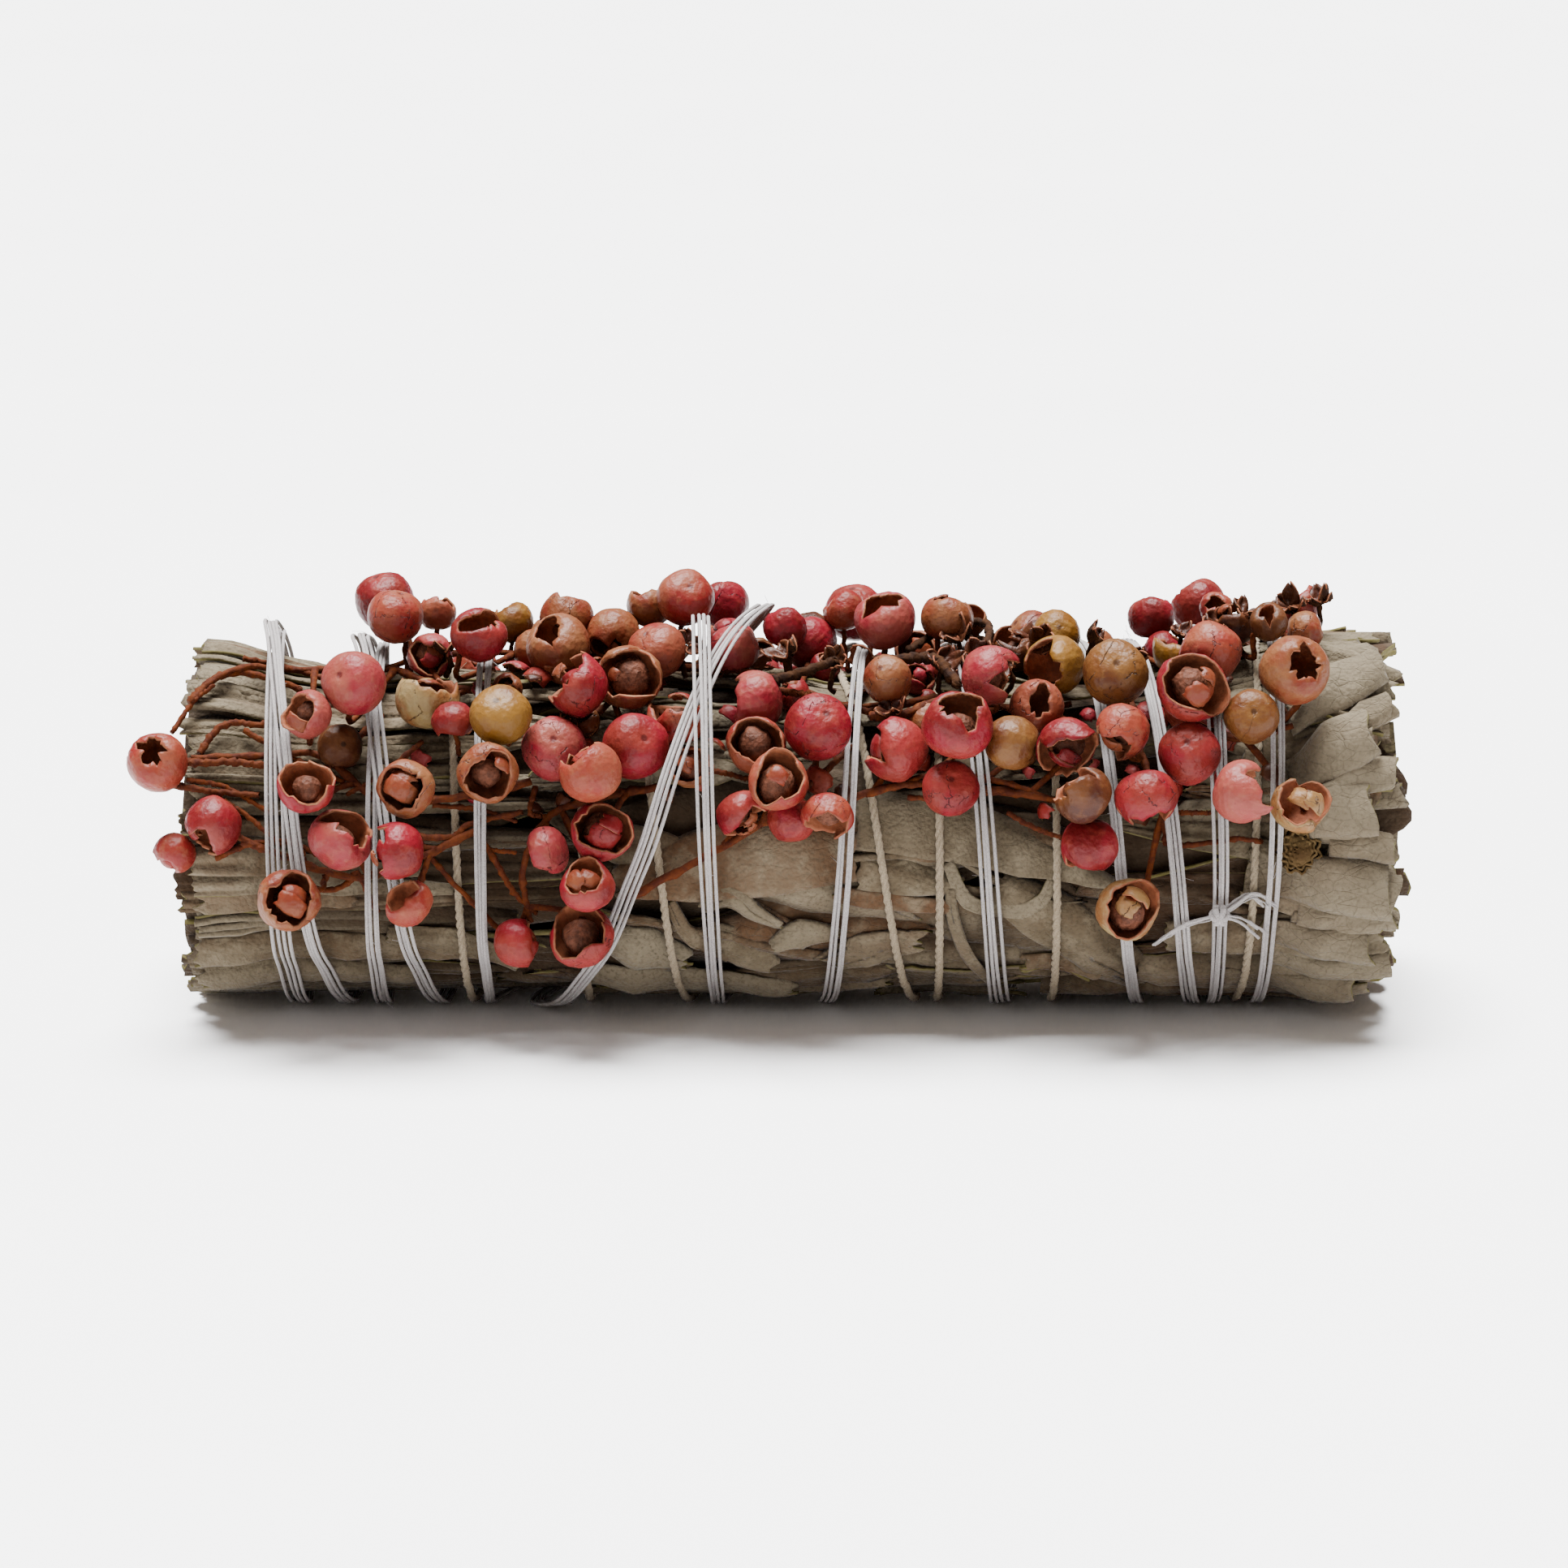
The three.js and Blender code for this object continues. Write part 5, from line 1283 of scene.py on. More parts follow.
def add_husk(heap, centre, radius, axis, slot, random, opening=0.0):
    """A berry's skin as a thin shell round an axis. opening is how wide it is broken, from 0 to 1."""
    across, beside_it = across_axis(axis, (0.2, 0.3, 0.9))
    seed = random() * 9
    tint = random()
    large = radius > LARGE_HUSK
    rows = 14 if large else 9
    turn = np.linspace(0, 2 * math.pi, (26 if large else 16) - (8 if opening > 0 else 0), endpoint=False)
    if opening > 0:
        corners, heights = torn_rim(random, math.radians(62 - 62 * opening), 1.0 if large else 1.5)
        turn = np.unique(np.concatenate([turn, corners]))
        rim = np.interp(turn, corners + [corners[0] + 2 * math.pi], heights + [heights[0]],
                        period=2 * math.pi)
        rim = np.clip(rim - 0.25 * opening * np.cos(turn - seed), -0.75, 1.3)
    else:
        rim = np.full(len(turn), math.pi / 2)
    columns = len(turn)
    u = np.linspace(0, 1, rows)[:, None] ** 0.85
    lean = -math.pi / 2 + u * (rim[None] + math.pi / 2)
    x, y, z = np.cos(lean) * np.cos(turn), np.cos(lean) * np.sin(turn), np.sin(lean)
    uneven = (1 + 0.055 * ripple(x * 2.6, y * 2.6, z * 2.6, 1.0, seed)
              + 0.012 * ripple(x * 9, y * 9, z * 9, 1.0, seed))
    uneven = uneven - 0.05 * smooth(0.75, 1, -z) - 0.07 * smooth(0.62, 0.92, z)
    if opening > 0:
        lip = np.maximum(0, u - 0.66) / 0.34
        flare = 0.1 * np.sin(turn * 2 + seed) + 0.05 * np.sin(turn * 3 + 2 * seed)
        uneven = uneven + (flare * (0.5 + opening) - 0.04) * lip ** 2
    else:
        uneven = uneven - 0.08 * np.exp(-((math.pi / 2 - lean) / 0.24) ** 2)
    flat = 1 - 0.07 * math.sin(seed * 5)

    def skin(size):
        return centre + size[..., None] * (x[..., None] * across + y[..., None] * beside_it
                                           + (z * flat)[..., None] * axis)

    lay = np.stack([x, y, (lean + math.pi / 2) / math.pi], -1)
    count = rows * columns
    faces = grid_faces(rows, columns, closed=True)
    if opening <= 0:
        heap.add(skin(radius * uneven), faces, slot, tint, lay)
        return
    thick = HUSK_WALL if radius > THICK_HUSK else THIN_HUSK_WALL
    points = np.concatenate([skin(radius * uneven), skin(radius * uneven - thick)])
    faces = faces + grid_faces(rows, columns, count, flip=True, closed=True)
    slots = [slot] * ((rows - 1) * columns) + [INSIDE] * ((rows - 1) * columns)
    top = (rows - 1) * columns
    for j in range(columns):
        k = (j + 1) % columns
        faces.append((top + j, top + k, top + k + count, top + j + count))
        slots.append(RIM)
    heap.add(points, faces, slots, tint, np.concatenate([lay, lay]))


def add_seed(heap, centre, radius, random, slot=SEED):
    """A wrinkled seed inside a husk."""
    rows, columns = 9, 13
    lean = np.linspace(-math.pi / 2, math.pi / 2, rows)[:, None]
    turn = np.linspace(0, 2 * math.pi, columns, endpoint=False)[None]
    x, y, z = np.cos(lean) * np.cos(turn), np.cos(lean) * np.sin(turn), np.sin(lean) + 0 * turn
    size = radius * (1 + 0.16 * ripple(x * 4, y * 4, z * 4, 1.0, random() * 9))
    heap.add(centre + size[..., None] * np.stack([x, y, z], -1), grid_faces(rows, columns, closed=True),
             slot, random())


def add_flake(heap, centre, radius, axis, slot, random, wide):
    """A loose curved piece of a husk."""
    across, beside_it = across_axis(axis, (0.5, 0.2, 0.8))
    u, v = grid_shares(6, 8, -1)
    edge = 1 + 0.25 * ripple(u * 3, v * 3, 0 * u + 0 * v, 1.0, random() * 9)
    a, b = u * wide * edge, v * wide * random.between(0.6, 1.0) * edge
    points = centre + radius * (np.sin(a)[..., None] * across + (np.cos(a) * np.sin(b))[..., None] * beside_it
                                + (np.cos(a) * np.cos(b) - 1)[..., None] * axis)
    add_sheet(heap, points, FLAKE_THICK, (slot, INSIDE, RIM), random())


def add_twig(heap, points, radius, random, slot=TWIG):
    """A thin red-brown twig, kinked and knuckled."""
    line = smooth_line(points, 5)
    jitter = np.array([scatter(random, 1) for _ in line]) * radius * 0.5
    jitter[0] = jitter[-1] = 0
    share = np.linspace(0, 1, len(line))
    knuckles = 1 + 0.4 * np.maximum(0, np.sin(share * len(points) * math.pi * 2 + random() * 6)) ** 6
    add_rod(heap, line + jitter, radius * knuckles * (1.1 - 0.25 * share), 7, slot, tint=random(),
            bumps=0.12, seed=random() * 9)


def add_berry(heap, random, berry):
    """A whole berry, or a broken husk with its seed and shards."""
    slot = HUSK_SLOTS.index(berry.colour)
    centre, radius = berry.centre, berry.radius
    if not berry.way:
        axis = unit(out_of(centre) * 1.2 + SEEN_FROM * 0.8 + scatter(random, 1.6))
        hole = 0.04 if random() < 0.3 else 0.0
        add_husk(heap, centre, radius, axis, slot, random, hole)
        return
    axis = unit(opening_of(berry.way) + scatter(random, 0.5))
    add_husk(heap, centre, radius, axis, slot, random, random.between(0.15, 0.75))
    if random() < 0.85:
        add_seed(heap, centre - axis * radius * 0.22, radius * random.between(0.45, 0.64), random)
    for _ in range(int(3.6 * random())):
        lean = unit(axis + scatter(random, 1.3))
        kind = slot if random() < 0.6 else HUSK_SLOTS.index("tan")
        add_flake(heap, centre + lean * radius * random.between(0.5, 0.9),
                  radius * random.between(0.35, 0.75), lean, kind, random, wide=0.7)


def dress_spray(spray, string_line, materials, seed, twig_radius):
    """A spray's twigs and berries, in place of its solid."""
    heap, random = Heap(), Numbers(seed)
    add_twig(heap, spray.line, twig_radius, random)
    for berry in spray.berries:
        points = twiglet_points(spray, berry, string_line)
        points[-1] = berry.centre + unit(points[-2] - berry.centre) * berry.radius * 0.9
        add_twig(heap, points, twig_radius * 0.8, random)
        add_berry(heap, random, berry)
    return heap.make(spray.name + "_dressed", materials, (spray.name,), "pepper_husk")


# Husks that lie between and under the sprays: pixel, height over leaves, radius, way and colour.
LOOSE_HUSKS = [
    (418, 912, 2.2, 1.9, "", "brown"), (455, 930, 2.0, 1.8, "down", "tan"),
    (430, 900, 2.2, 1.8, "front", "brown"), (560, 818, 2.0, 1.7, "up", "rose"),
    (634, 812, 2.2, 1.9, "", "rose"), (216, 1050, 1.9, 1.7, "left down", "salmon"),
    (700, 1047, 2.2, 1.9, "front", "pink"), (1037, 842, 2.2, 1.9, "left", "tan"),
    (1022, 762, 2.4, 2.1, "up", "salmon"), (1130, 786, 2.2, 1.9, "front", "tan"),
    (1210, 792, 2.0, 1.8, "up", "olive"), (1567, 790, 2.2, 1.8, "up", "tan"),
    (1330, 976, 2.0, 1.8, "front", "brown"), (1330, 858, 2.1, 1.8, "up", "gold"),
    (1280, 784, 2.1, 1.8, "up", "brown"), (1420, 812, 2.3, 2.0, "", "gold"),
    (660, 775, 2.1, 1.9, "", "tan"), (735, 760, 2.3, 2.0, "up", "salmon"),
    (800, 762, 2.5, 2.1, "up", "salmon"), (862, 770, 2.4, 2.1, "front up", "salmon"),
    (900, 762, 2.3, 2.0, "up", "pink"), (940, 780, 2.3, 2.0, "up left", "tan"),
    (870, 858, 2.5, 2.2, "left", "pink"), (890, 905, 2.3, 2.0, "", "rose"),
    (1060, 940, 2.4, 2.1, "front", "rose"), (1140, 940, 2.3, 2.0, "right", "salmon"),
    (1060, 880, 2.2, 2.0, "", "rose"), (1145, 880, 2.2, 1.9, "", "tan"),
    (1240, 870, 2.2, 2.0, "front", "rose"), (1420, 900, 2.4, 2.0, "", "brown"),
    (1500, 960, 2.2, 2.0, "down", "rose"), (1440, 870, 2.2, 2.0, "front", "salmon"),
    (640, 900, 2.2, 1.9, "", "salmon"), (560, 900, 2.0, 1.8, "down", "rose"),
    (750, 880, 2.2, 2.0, "", "rose"), (850, 940, 2.1, 1.8, "front", "tan"),
    (700, 890, 2.0, 1.7, "", "brown"), (986, 870, 2.1, 1.9, "", "pink"),
    (1350, 890, 2.2, 1.9, "", "tan"), (1390, 950, 2.1, 1.8, "front", "tan"),
    (1510, 905, 2.3, 2.0, "", "tan"), (1560, 930, 2.0, 1.7, "", "salmon"),
]
HIGH_HUSKS = [
    (898, 744, 6.0, 2.0, "up", "salmon"), (930, 756, 5.6, 1.9, "front up", "tan"),
    (968, 772, 5.0, 1.9, "up", "rose"), (1040, 752, 5.4, 1.8, "left up", "salmon"),
    (652, 752, 5.2, 1.7, "up", "cream"), (800, 746, 5.6, 1.9, "up", "tan"),
]
LITTER_COLOURS = ["salmon", "tan", "rose", "brown", "salmon", "olive", "pink", "brown", "gold"]
LITTER_WAYS = ["", "", "up", "front up", "left up", "right up", "front"]
LITTER_TOP = 35.9
# Where the scattered husks and flakes lie, along the stick and in degrees round it, and their radii.
HUSK_RUN, HUSK_DEGREES, HUSK_RADII = (-23, 43), (34, 158), (1.2, 2.0)
FLAKE_RUN, FLAKE_DEGREES, FLAKE_RADII = (-30, 44), (18, 160), (0.7, 1.7)
FLAKE_LIFT = (0.9, 2.2)
SETTLE_STEP = 0.35
SETTLE_HIGHEST = 4.6


def fits(centre, radius, berries, string_line):
    """Whether a husk clears the berries and the string."""
    for berry in berries:
        if np.linalg.norm(centre - berry.centre) < (radius + berry.radius) * 0.93:
            return False
    return np.linalg.norm(string_line - centre, axis=1).min() > radius + 0.7


def settle(centre, radius, berries, string_line):
    """The lowest place over the leaves here that clears the berries and the string, if there is one."""
    x, angle, _ = place_of(centre)
    for lift in np.arange(radius + 0.15, SETTLE_HIGHEST, SETTLE_STEP):
        tried = over_leaves(x, angle, lift)
        if tried[2] + radius > LITTER_TOP:
            return None
        if fits(tried, radius, berries, string_line):
            return tried
    return None


def add_litter(heap, random, sprays, string_line, husk_count, flake_count):
    """Loose husks, flakes and dry bits that fill the room between the sprays."""
    berries = [berry for spray in sprays for berry in spray.berries]
    line = smooth_line(string_line, 3)
    loose = []

    def lay(start, radius, way, colour):
        centre = settle(start, radius, berries + loose, line)
        if centre is not None:
            loose.append(Berry(centre, radius, way, colour))

    for px, py, lift, *husk in LOOSE_HUSKS:
        lay(seen_at((px, py), LEAF_REACH + lift), *husk)
    for husk in HIGH_HUSKS:
        berry = read_berry(*husk)
        if fits(berry.centre, berry.radius * 0.9, berries + loose, line):
            loose.append(berry)
    for k in range(husk_count):
        x, degrees = random.between(*HUSK_RUN), random.between(*HUSK_DEGREES)
        radius = random.between(*HUSK_RADII)
        lay(place(x, math.radians(degrees), LEAF_REACH), radius,
            LITTER_WAYS[k % len(LITTER_WAYS)], LITTER_COLOURS[k % len(LITTER_COLOURS)])
    for berry in loose:
        add_berry(heap, random, berry)
        foot = on_twigs(berry.centre + scatter(random, 2.0), 0.6)
        under = berry.centre - out_of(berry.centre) * berry.radius * 0.9
        if np.linalg.norm(under - foot) > 1.2:
            middle = (foot + under) / 2 + scatter(random, 0.6)
            add_twig(heap, [foot, middle, under], TWIG_RADIUS * 0.7, random)
    for k in range(flake_count):
        x, angle = random.between(*FLAKE_RUN), math.radians(random.between(*FLAKE_DEGREES))
        centre = over_leaves(x, angle, random.between(*FLAKE_LIFT))
        lean = unit(out_of(centre) + scatter(random, 1.8))
        kind = HUSK_SLOTS.index(LITTER_COLOURS[(3 * k) % len(LITTER_COLOURS)])
        add_flake(heap, centre, random.between(*FLAKE_RADII), lean, kind, random, wide=0.8)


# Thin twigs and dry stalks seen between the sprays: their run as pixels, height over the leaves,
# radius and whether they are dark.
LOOSE_TWIGS = [
    ([(205, 968), (262, 976), (317, 980)], 1.7, 0.26, 0),
    ([(228, 942), (285, 940), (338, 944)], 1.9, 0.3, 0),
    ([(276, 986), (310, 1010), (348, 1042)], 1.6, 0.2, 0),
    ([(236, 868), (262, 845), (300, 833), (368, 838)], 1.5, 0.3, 0),
    ([(246, 930), (276, 896), (328, 891)], 1.6, 0.28, 0),
    ([(300, 818), (353, 816), (409, 822)], 1.6, 0.22, 0),
    ([(212, 906), (241, 868), (262, 852)], 1.7, 0.2, 0),
    ([(230, 962), (276, 970), (330, 1000)], 1.5, 0.2, 0),
    ([(266, 1057), (302, 1042), (353, 1037), (389, 1052)], 1.5, 0.24, 0),
    ([(373, 1047), (376, 1082)], 1.7, 0.2, 0),
    ([(389, 1095), (424, 1093), (440, 1075), (455, 1108), (465, 1121)], 1.7, 0.22, 0),
    ([(532, 991), (588, 996), (634, 1011)], 1.5, 0.2, 0),
    ([(501, 1026), (526, 1052), (557, 1088), (618, 1149)], 1.5, 0.22, 0),
    ([(588, 1026), (618, 1077), (634, 1103), (659, 1126)], 1.8, 0.24, 0),
    ([(593, 1047), (634, 1052)], 1.6, 0.18, 0),
    ([(506, 1031), (557, 1031), (577, 1016), (640, 1000)], 1.7, 0.24, 0),
    ([(659, 965), (654, 1001), (674, 1006)], 1.6, 0.22, 0), ([(873, 945), (930, 960)], 1.8, 0.22, 0),
    ([(751, 757), (782, 748), (802, 753), (830, 770)], 3.6, 0.24, 1),
    ([(935, 832), (963, 823), (1026, 799)], 4.6, 0.42, 1),
    ([(1080, 799), (1149, 794), (1180, 828)], 4.6, 0.45, 1),
    ([(1149, 764), (1180, 752), (1215, 756), (1215, 780)], 4.2, 0.34, 1),
    ([(1120, 782), (1165, 762), (1205, 775)], 4.0, 0.3, 1),
    ([(1067, 978), (1118, 963), (1154, 950), (1215, 955), (1277, 975), (1317, 993)], 1.8, 0.26, 0),
    ([(1118, 981), (1169, 983), (1220, 975), (1266, 978)], 1.5, 0.22, 0),
    ([(1241, 1001), (1277, 1021), (1307, 1032)], 1.6, 0.2, 0),
    ([(1432, 1034), (1465, 1042), (1526, 1034), (1552, 1037)], 1.8, 0.22, 0),
    ([(1450, 1001), (1491, 1001)], 1.7, 0.2, 0),
    ([(1072, 873), (1118, 868), (1154, 853), (1195, 845)], 3.4, 0.36, 0),
    ([(955, 838), (996, 843)], 3.2, 0.3, 0), ([(470, 870), (440, 900), (400, 945)], 1.9, 0.26, 0),
    ([(520, 905), (470, 950), (430, 975)], 1.8, 0.2, 0),
    ([(300, 900), (350, 925), (420, 960)], 1.5, 0.22, 0),
]


def add_loose_twigs(heap, random):
    for pixels, lift, radius, dark in LOOSE_TWIGS:
        line = centripetal_run([on_twigs(seen_at(pixel, LEAF_REACH + lift), lift) for pixel in pixels], 12)
        add_twig(heap, line[::2] + [line[-1]], radius, random, DARK_TWIG if dark else TWIG)


# Dry flower cups and their small leaves along the top: pixel, height over the leaves and size.
DRY_CUPS = [
    (972, 790, 4.0, 1.5), (1285, 775, 4.4, 1.4), (1345, 776, 4.4, 1.4), (1500, 778, 4.6, 1.5),
    (1532, 776, 4.6, 1.2), (1180, 770, 4.4, 1.5), (1205, 795, 4.0, 1.6), (1590, 780, 4.0, 1.5),
    (1625, 776, 3.6, 1.3), (1240, 800, 4.2, 1.3), (1160, 805, 3.8, 1.5), (548, 790, 3.4, 1.0),
    (845, 775, 4.0, 1.2), (1395, 800, 4.0, 1.2), (1100, 870, 3.4, 1.2), (700, 870, 3.0, 1.1),
    (1455, 780, 4.4, 1.1), (1030, 800, 4.0, 1.2),
]


def add_dry_cup(heap, random, centre, size, axis):
    """A dry brown cup of five crumpled lobes."""
    across, beside_it = across_axis(axis, (0.3, 0.2, 0.9))
    for lobe in range(CUP_LOBES):
        turn = 2 * math.pi * (lobe + 0.5 * random()) / CUP_LOBES
        way = math.cos(turn) * across + math.sin(turn) * beside_it
        aside = np.cross(axis, way)
        u, v = grid_shares(9, 7)
        wide = 0.5 * np.sin(math.pi * (0.1 + 0.85 * u)) * size
        rise = random.between(0.2, 1.1) * u ** 1.4 + 0.16 * np.sin(5 * u + 4 * v + lobe) + 0.18 * v * v
        reach = (0.15 + 0.9 * u) * random.between(0.7, 1.1)
        points = (centre + size * (reach[..., None] * way + rise[..., None] * axis)
                  + (v * wide)[..., None] * aside)
        add_sheet(heap, points, CUP_THICK, (HUSK_SLOTS.index("brown"), DARK_TWIG, RIM), random())


def add_dry_cups(heap, random):
    for px, py, lift, size in DRY_CUPS:
        centre = on_twigs(seen_at((px, py), LEAF_REACH + lift), lift)
        axis = unit(out_of(centre) + SEEN_FROM * 0.4 + scatter(random, 1.4))
        add_dry_cup(heap, random, centre, size, axis)
        middle = on_twigs(centre, lift * 0.6) + scatter(random, 1.2)
        add_twig(heap, [on_twigs(centre, 1.2), middle, centre], CUP_TWIG_RADIUS, random, DARK_TWIG)


def finer(places, steps):
    """A winding with more places along it, bent smoothly."""
    x, angle, reach = smooth_line(places, steps).T
    reach = np.minimum(reach, np.where(np.sin(angle) < -0.3, ground_reach(angle) - 0.21, FAR))
    return x, angle, np.maximum(reach, leaf_reach(x, angle) + 0.35)


THREADS = 4
THREAD_SPACING = 0.33
CORD_STRANDS = 3
CORD_TWIST_LENGTH = 2.6
STRAND_OFFSET = 0.17
FIBRE_RADIUS = 0.018
# Where the sine of the angle is lower than this, a tie lies between the leaves and the ground.
UNDERNEATH = -0.8


def add_string(heap, random, places, radius):
    """The white string: four fine cotton threads laid side by side."""
    x, angle, reach = finer(places, 5)
    share = np.arange(len(x))
    spread = 1 + 0.35 * np.sin(share / 23.0) * np.sin(share / 61.0 + 1)
    for k in range(THREADS):
        aside = (k - (THREADS - 1) / 2) * THREAD_SPACING * spread
        aside = aside + 0.06 * np.sin(share / 9.0 + 2 * k) + 0.1 * (k % 2) * np.sin(share / 37.0)
        rise = 0.09 * np.sin(share / 11.0 + 1.7 * k) - 0.05 * (k % 2)
        top = np.where(np.sin(angle) < UNDERNEATH, np.minimum(rise, 0), rise)
        add_rod(heap, place(x + aside, angle, reach + top), radius, 6, 0, tint=random(), bumps=0.05, seed=k)


def add_fibres(heap, random, places, count):
    """Loose cotton fibres that stand off a tie."""
    line = line_of(places)
    for _ in range(count):
        start = line[int(random() * (len(line) - 1))] + scatter(random, 0.7)
        if start[2] < 1.0:
            continue
        ahead = unit(out_of(start) * 0.7 + scatter(random, 2.4))
        curl = scatter(random, 1.6)
        length = random.between(0.5, 1.5)
        fibre = [start + ahead * length * q + curl * (length * q) ** 2 * 0.3 for q in np.linspace(0, 1, 5)]
        add_rod(heap, fibre, FIBRE_RADIUS, 3, 0, tint=0.3)


def add_cord(heap, random, places, radius):
    """The cream cord: three soft strands twisted together."""
    x, angle, reach = finer(places, 7)
    length = lengths_along(place(x, angle, reach))
    for k in range(CORD_STRANDS):
        turn = length / CORD_TWIST_LENGTH * 2 * math.pi + k * 2 * math.pi / CORD_STRANDS
        out = np.where(np.sin(angle) < UNDERNEATH, -0.19, 0.0) + STRAND_OFFSET * np.sin(turn)
        add_rod(heap, place(x + STRAND_OFFSET * np.cos(turn), angle, reach + out), radius, 7, 0,
                tint=random(), bumps=0.06, seed=k)


KNOT_PIXEL = (1500, 1112)
STRING_ENDS = [
    [(1420, 1142), (1458, 1122), KNOT_PIXEL, (1540, 1100), (1566, 1116)],
    [KNOT_PIXEL, (1530, 1130), (1556, 1148)],
]


FRAYED_STRANDS = 7
KNOT_LOOPS = 3
LOOP_WIDE = 0.62
LOOP_TALL = 0.35
LOOP_THREAD_RADIUS = 0.26


def over_ties(pixel, lift=0.5):
    """The point seen at a pixel, just over the ties and leaves there."""
    x, angle, _ = place_of(seen_at(pixel, AXIS_Z))
    return place(x, angle, tie_reach(x, angle) + lift + STRING_OVER_TWIGS * under_sprays(x, angle))


def add_knot(heap, random):
    """The knot of the white string and its frayed ends."""
    for pixels in STRING_ENDS:
        line = smooth_line([over_ties(pixel) for pixel in pixels], 8)
        for k in range(FRAYED_STRANDS):
            wide = 0.42 * np.linspace(0.5, 1.0, len(line)) ** 2
            turn = random() * 6.28
            shift = np.stack([np.cos(turn) * wide, 0 * wide, np.sin(turn) * wide], -1)
            fray = np.array([scatter(random, 1) for _ in line]) * 0.08
            start = 0 if random() < 0.6 else int(len(line) * 0.15)
            end = len(line) - int(3 * random())
            add_rod(heap, (line + shift + fray)[start:end], random.between(0.05, 0.13), 6, 0, tint=random())
    centre = over_ties(KNOT_PIXEL, 0.65)
    turn = np.linspace(0, 2 * math.pi, 20)
    for k in range(KNOT_LOOPS):
        lean = k * 1.05
        loop = np.stack([LOOP_WIDE * np.cos(turn) * math.cos(lean), LOOP_TALL * np.sin(turn),
                         LOOP_WIDE * np.cos(turn) * math.sin(lean) + 0.3 * np.sin(turn)], -1)
        add_rod(heap, centre + loop, LOOP_THREAD_RADIUS, 8, 0, tint=random(), bumps=0.05, seed=k)


# Painting a solid, and the stage

def paint_node(node, material):
    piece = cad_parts[node]
    piece.data.materials.clear()
    piece.data.materials.append(material)


SUN_WAY = (0.08, -0.14, -1)
SUN_ANGLE = math.radians(40)
FILL_PLACE = (-0.35, -0.8, 0.5)
FILL_AIM = (0, 0, 0.015)
FILL_SIZE = 0.6
SENSOR_WIDTH = 36.0


def put(data, location, way):
    """Puts a light or the camera at a place in the scene, looking one way."""
    thing = bpy.data.objects.new(data.name, data)
    thing.location = location
    thing.rotation_euler = Vector(way).to_track_quat("-Z", "Y").to_euler()
    bpy.context.scene.collection.objects.link(thing)
    return thing


def make_stage(look):
    """A white floor, soft light from above and in front, and the camera."""
    scene = bpy.context.scene
    bpy.ops.mesh.primitive_plane_add(size=look.floor_side, location=(0, 0.6, 0))
    floor = bpy.context.object
    floor.name = "floor"
    paint = Paint("White card")
    grain = paint.noise(paint.where(), 0.02, 2)
    white = paint.mix(grain, toned(look.floor_colour, 0.98), toned(look.floor_colour, 1.02))
    normal = paint.bump(grain, strength=0.05, distance=0.0001)
    floor.data.materials.append(paint.finish(white, 0.6 + grain * 0.1, normal))
    world = bpy.data.worlds.new("Soft white room")
    world.use_nodes = True
    background = world.node_tree.nodes["Background"]
    background.inputs["Color"].default_value = (*look.room_colour, 1)
    background.inputs["Strength"].default_value = look.room_light
    scene.world = world
    overhead = bpy.data.lights.new("Wide overhead light", "SUN")
    overhead.angle, overhead.energy = SUN_ANGLE, look.overhead_light
    overhead.color = look.overhead_colour
    put(overhead, (0, 0, 0), SUN_WAY)
    fill = bpy.data.lights.new("Front fill", "AREA")
    fill.shape, fill.size, fill.energy = "DISK", FILL_SIZE, look.front_light
    put(fill, FILL_PLACE, Vector(FILL_AIM) - Vector(FILL_PLACE))
    camera = bpy.data.cameras.new("Camera")
    camera.sensor_width = SENSOR_WIDTH
    camera.lens = SENSOR_WIDTH * EYE_DISTANCE / (PICTURE_SIDE / PIXELS_PER_MM)
    scene.camera = put(camera, EYE * MM, tuple(-SEEN_FROM))


# Materials of the pieces

def paints(names, make):
    """The materials of these names, made if they aren't there yet."""
    if any(name not in bpy.data.materials for name in names):
        make()
    return [bpy.data.materials[name] for name in names]


LEAF_PAINTS = ["Sage leaf, upper side", "Sage leaf, under side", "Sage leaf, cut edge", "Sage stem"]
UNDER_SIDE_SHADE = 0.14


def leaf_materials(look):
    def make():
        colours = (look.pale_leaf, look.dull_leaf, look.brown_leaf)
        leaf_paint(LEAF_PAINTS[0], colours, shade=0.0, veins=0.3)
        leaf_paint(LEAF_PAINTS[1], colours, shade=UNDER_SIDE_SHADE, veins=0.7)
        plain_paint(LEAF_PAINTS[2], look.cut_edge, linear(176, 164, 120),
                    scale=1.2, bump=0.4, roughness=0.9)
        plain_paint(LEAF_PAINTS[3], look.stem, linear(104, 78, 50),
                    scale=1.0, bump=0.6, roughness=0.85, stretch=(0.3, 1, 1))
    return paints(LEAF_PAINTS, make)


SPRAY_PAINTS = [f"Pepper husk, {name}" for name in HUSK_SLOTS] + [
    "Pepper husk, inside", "Pepper husk, torn rim", "Pepper seed", "Pepper twig", "Dry stalk"]


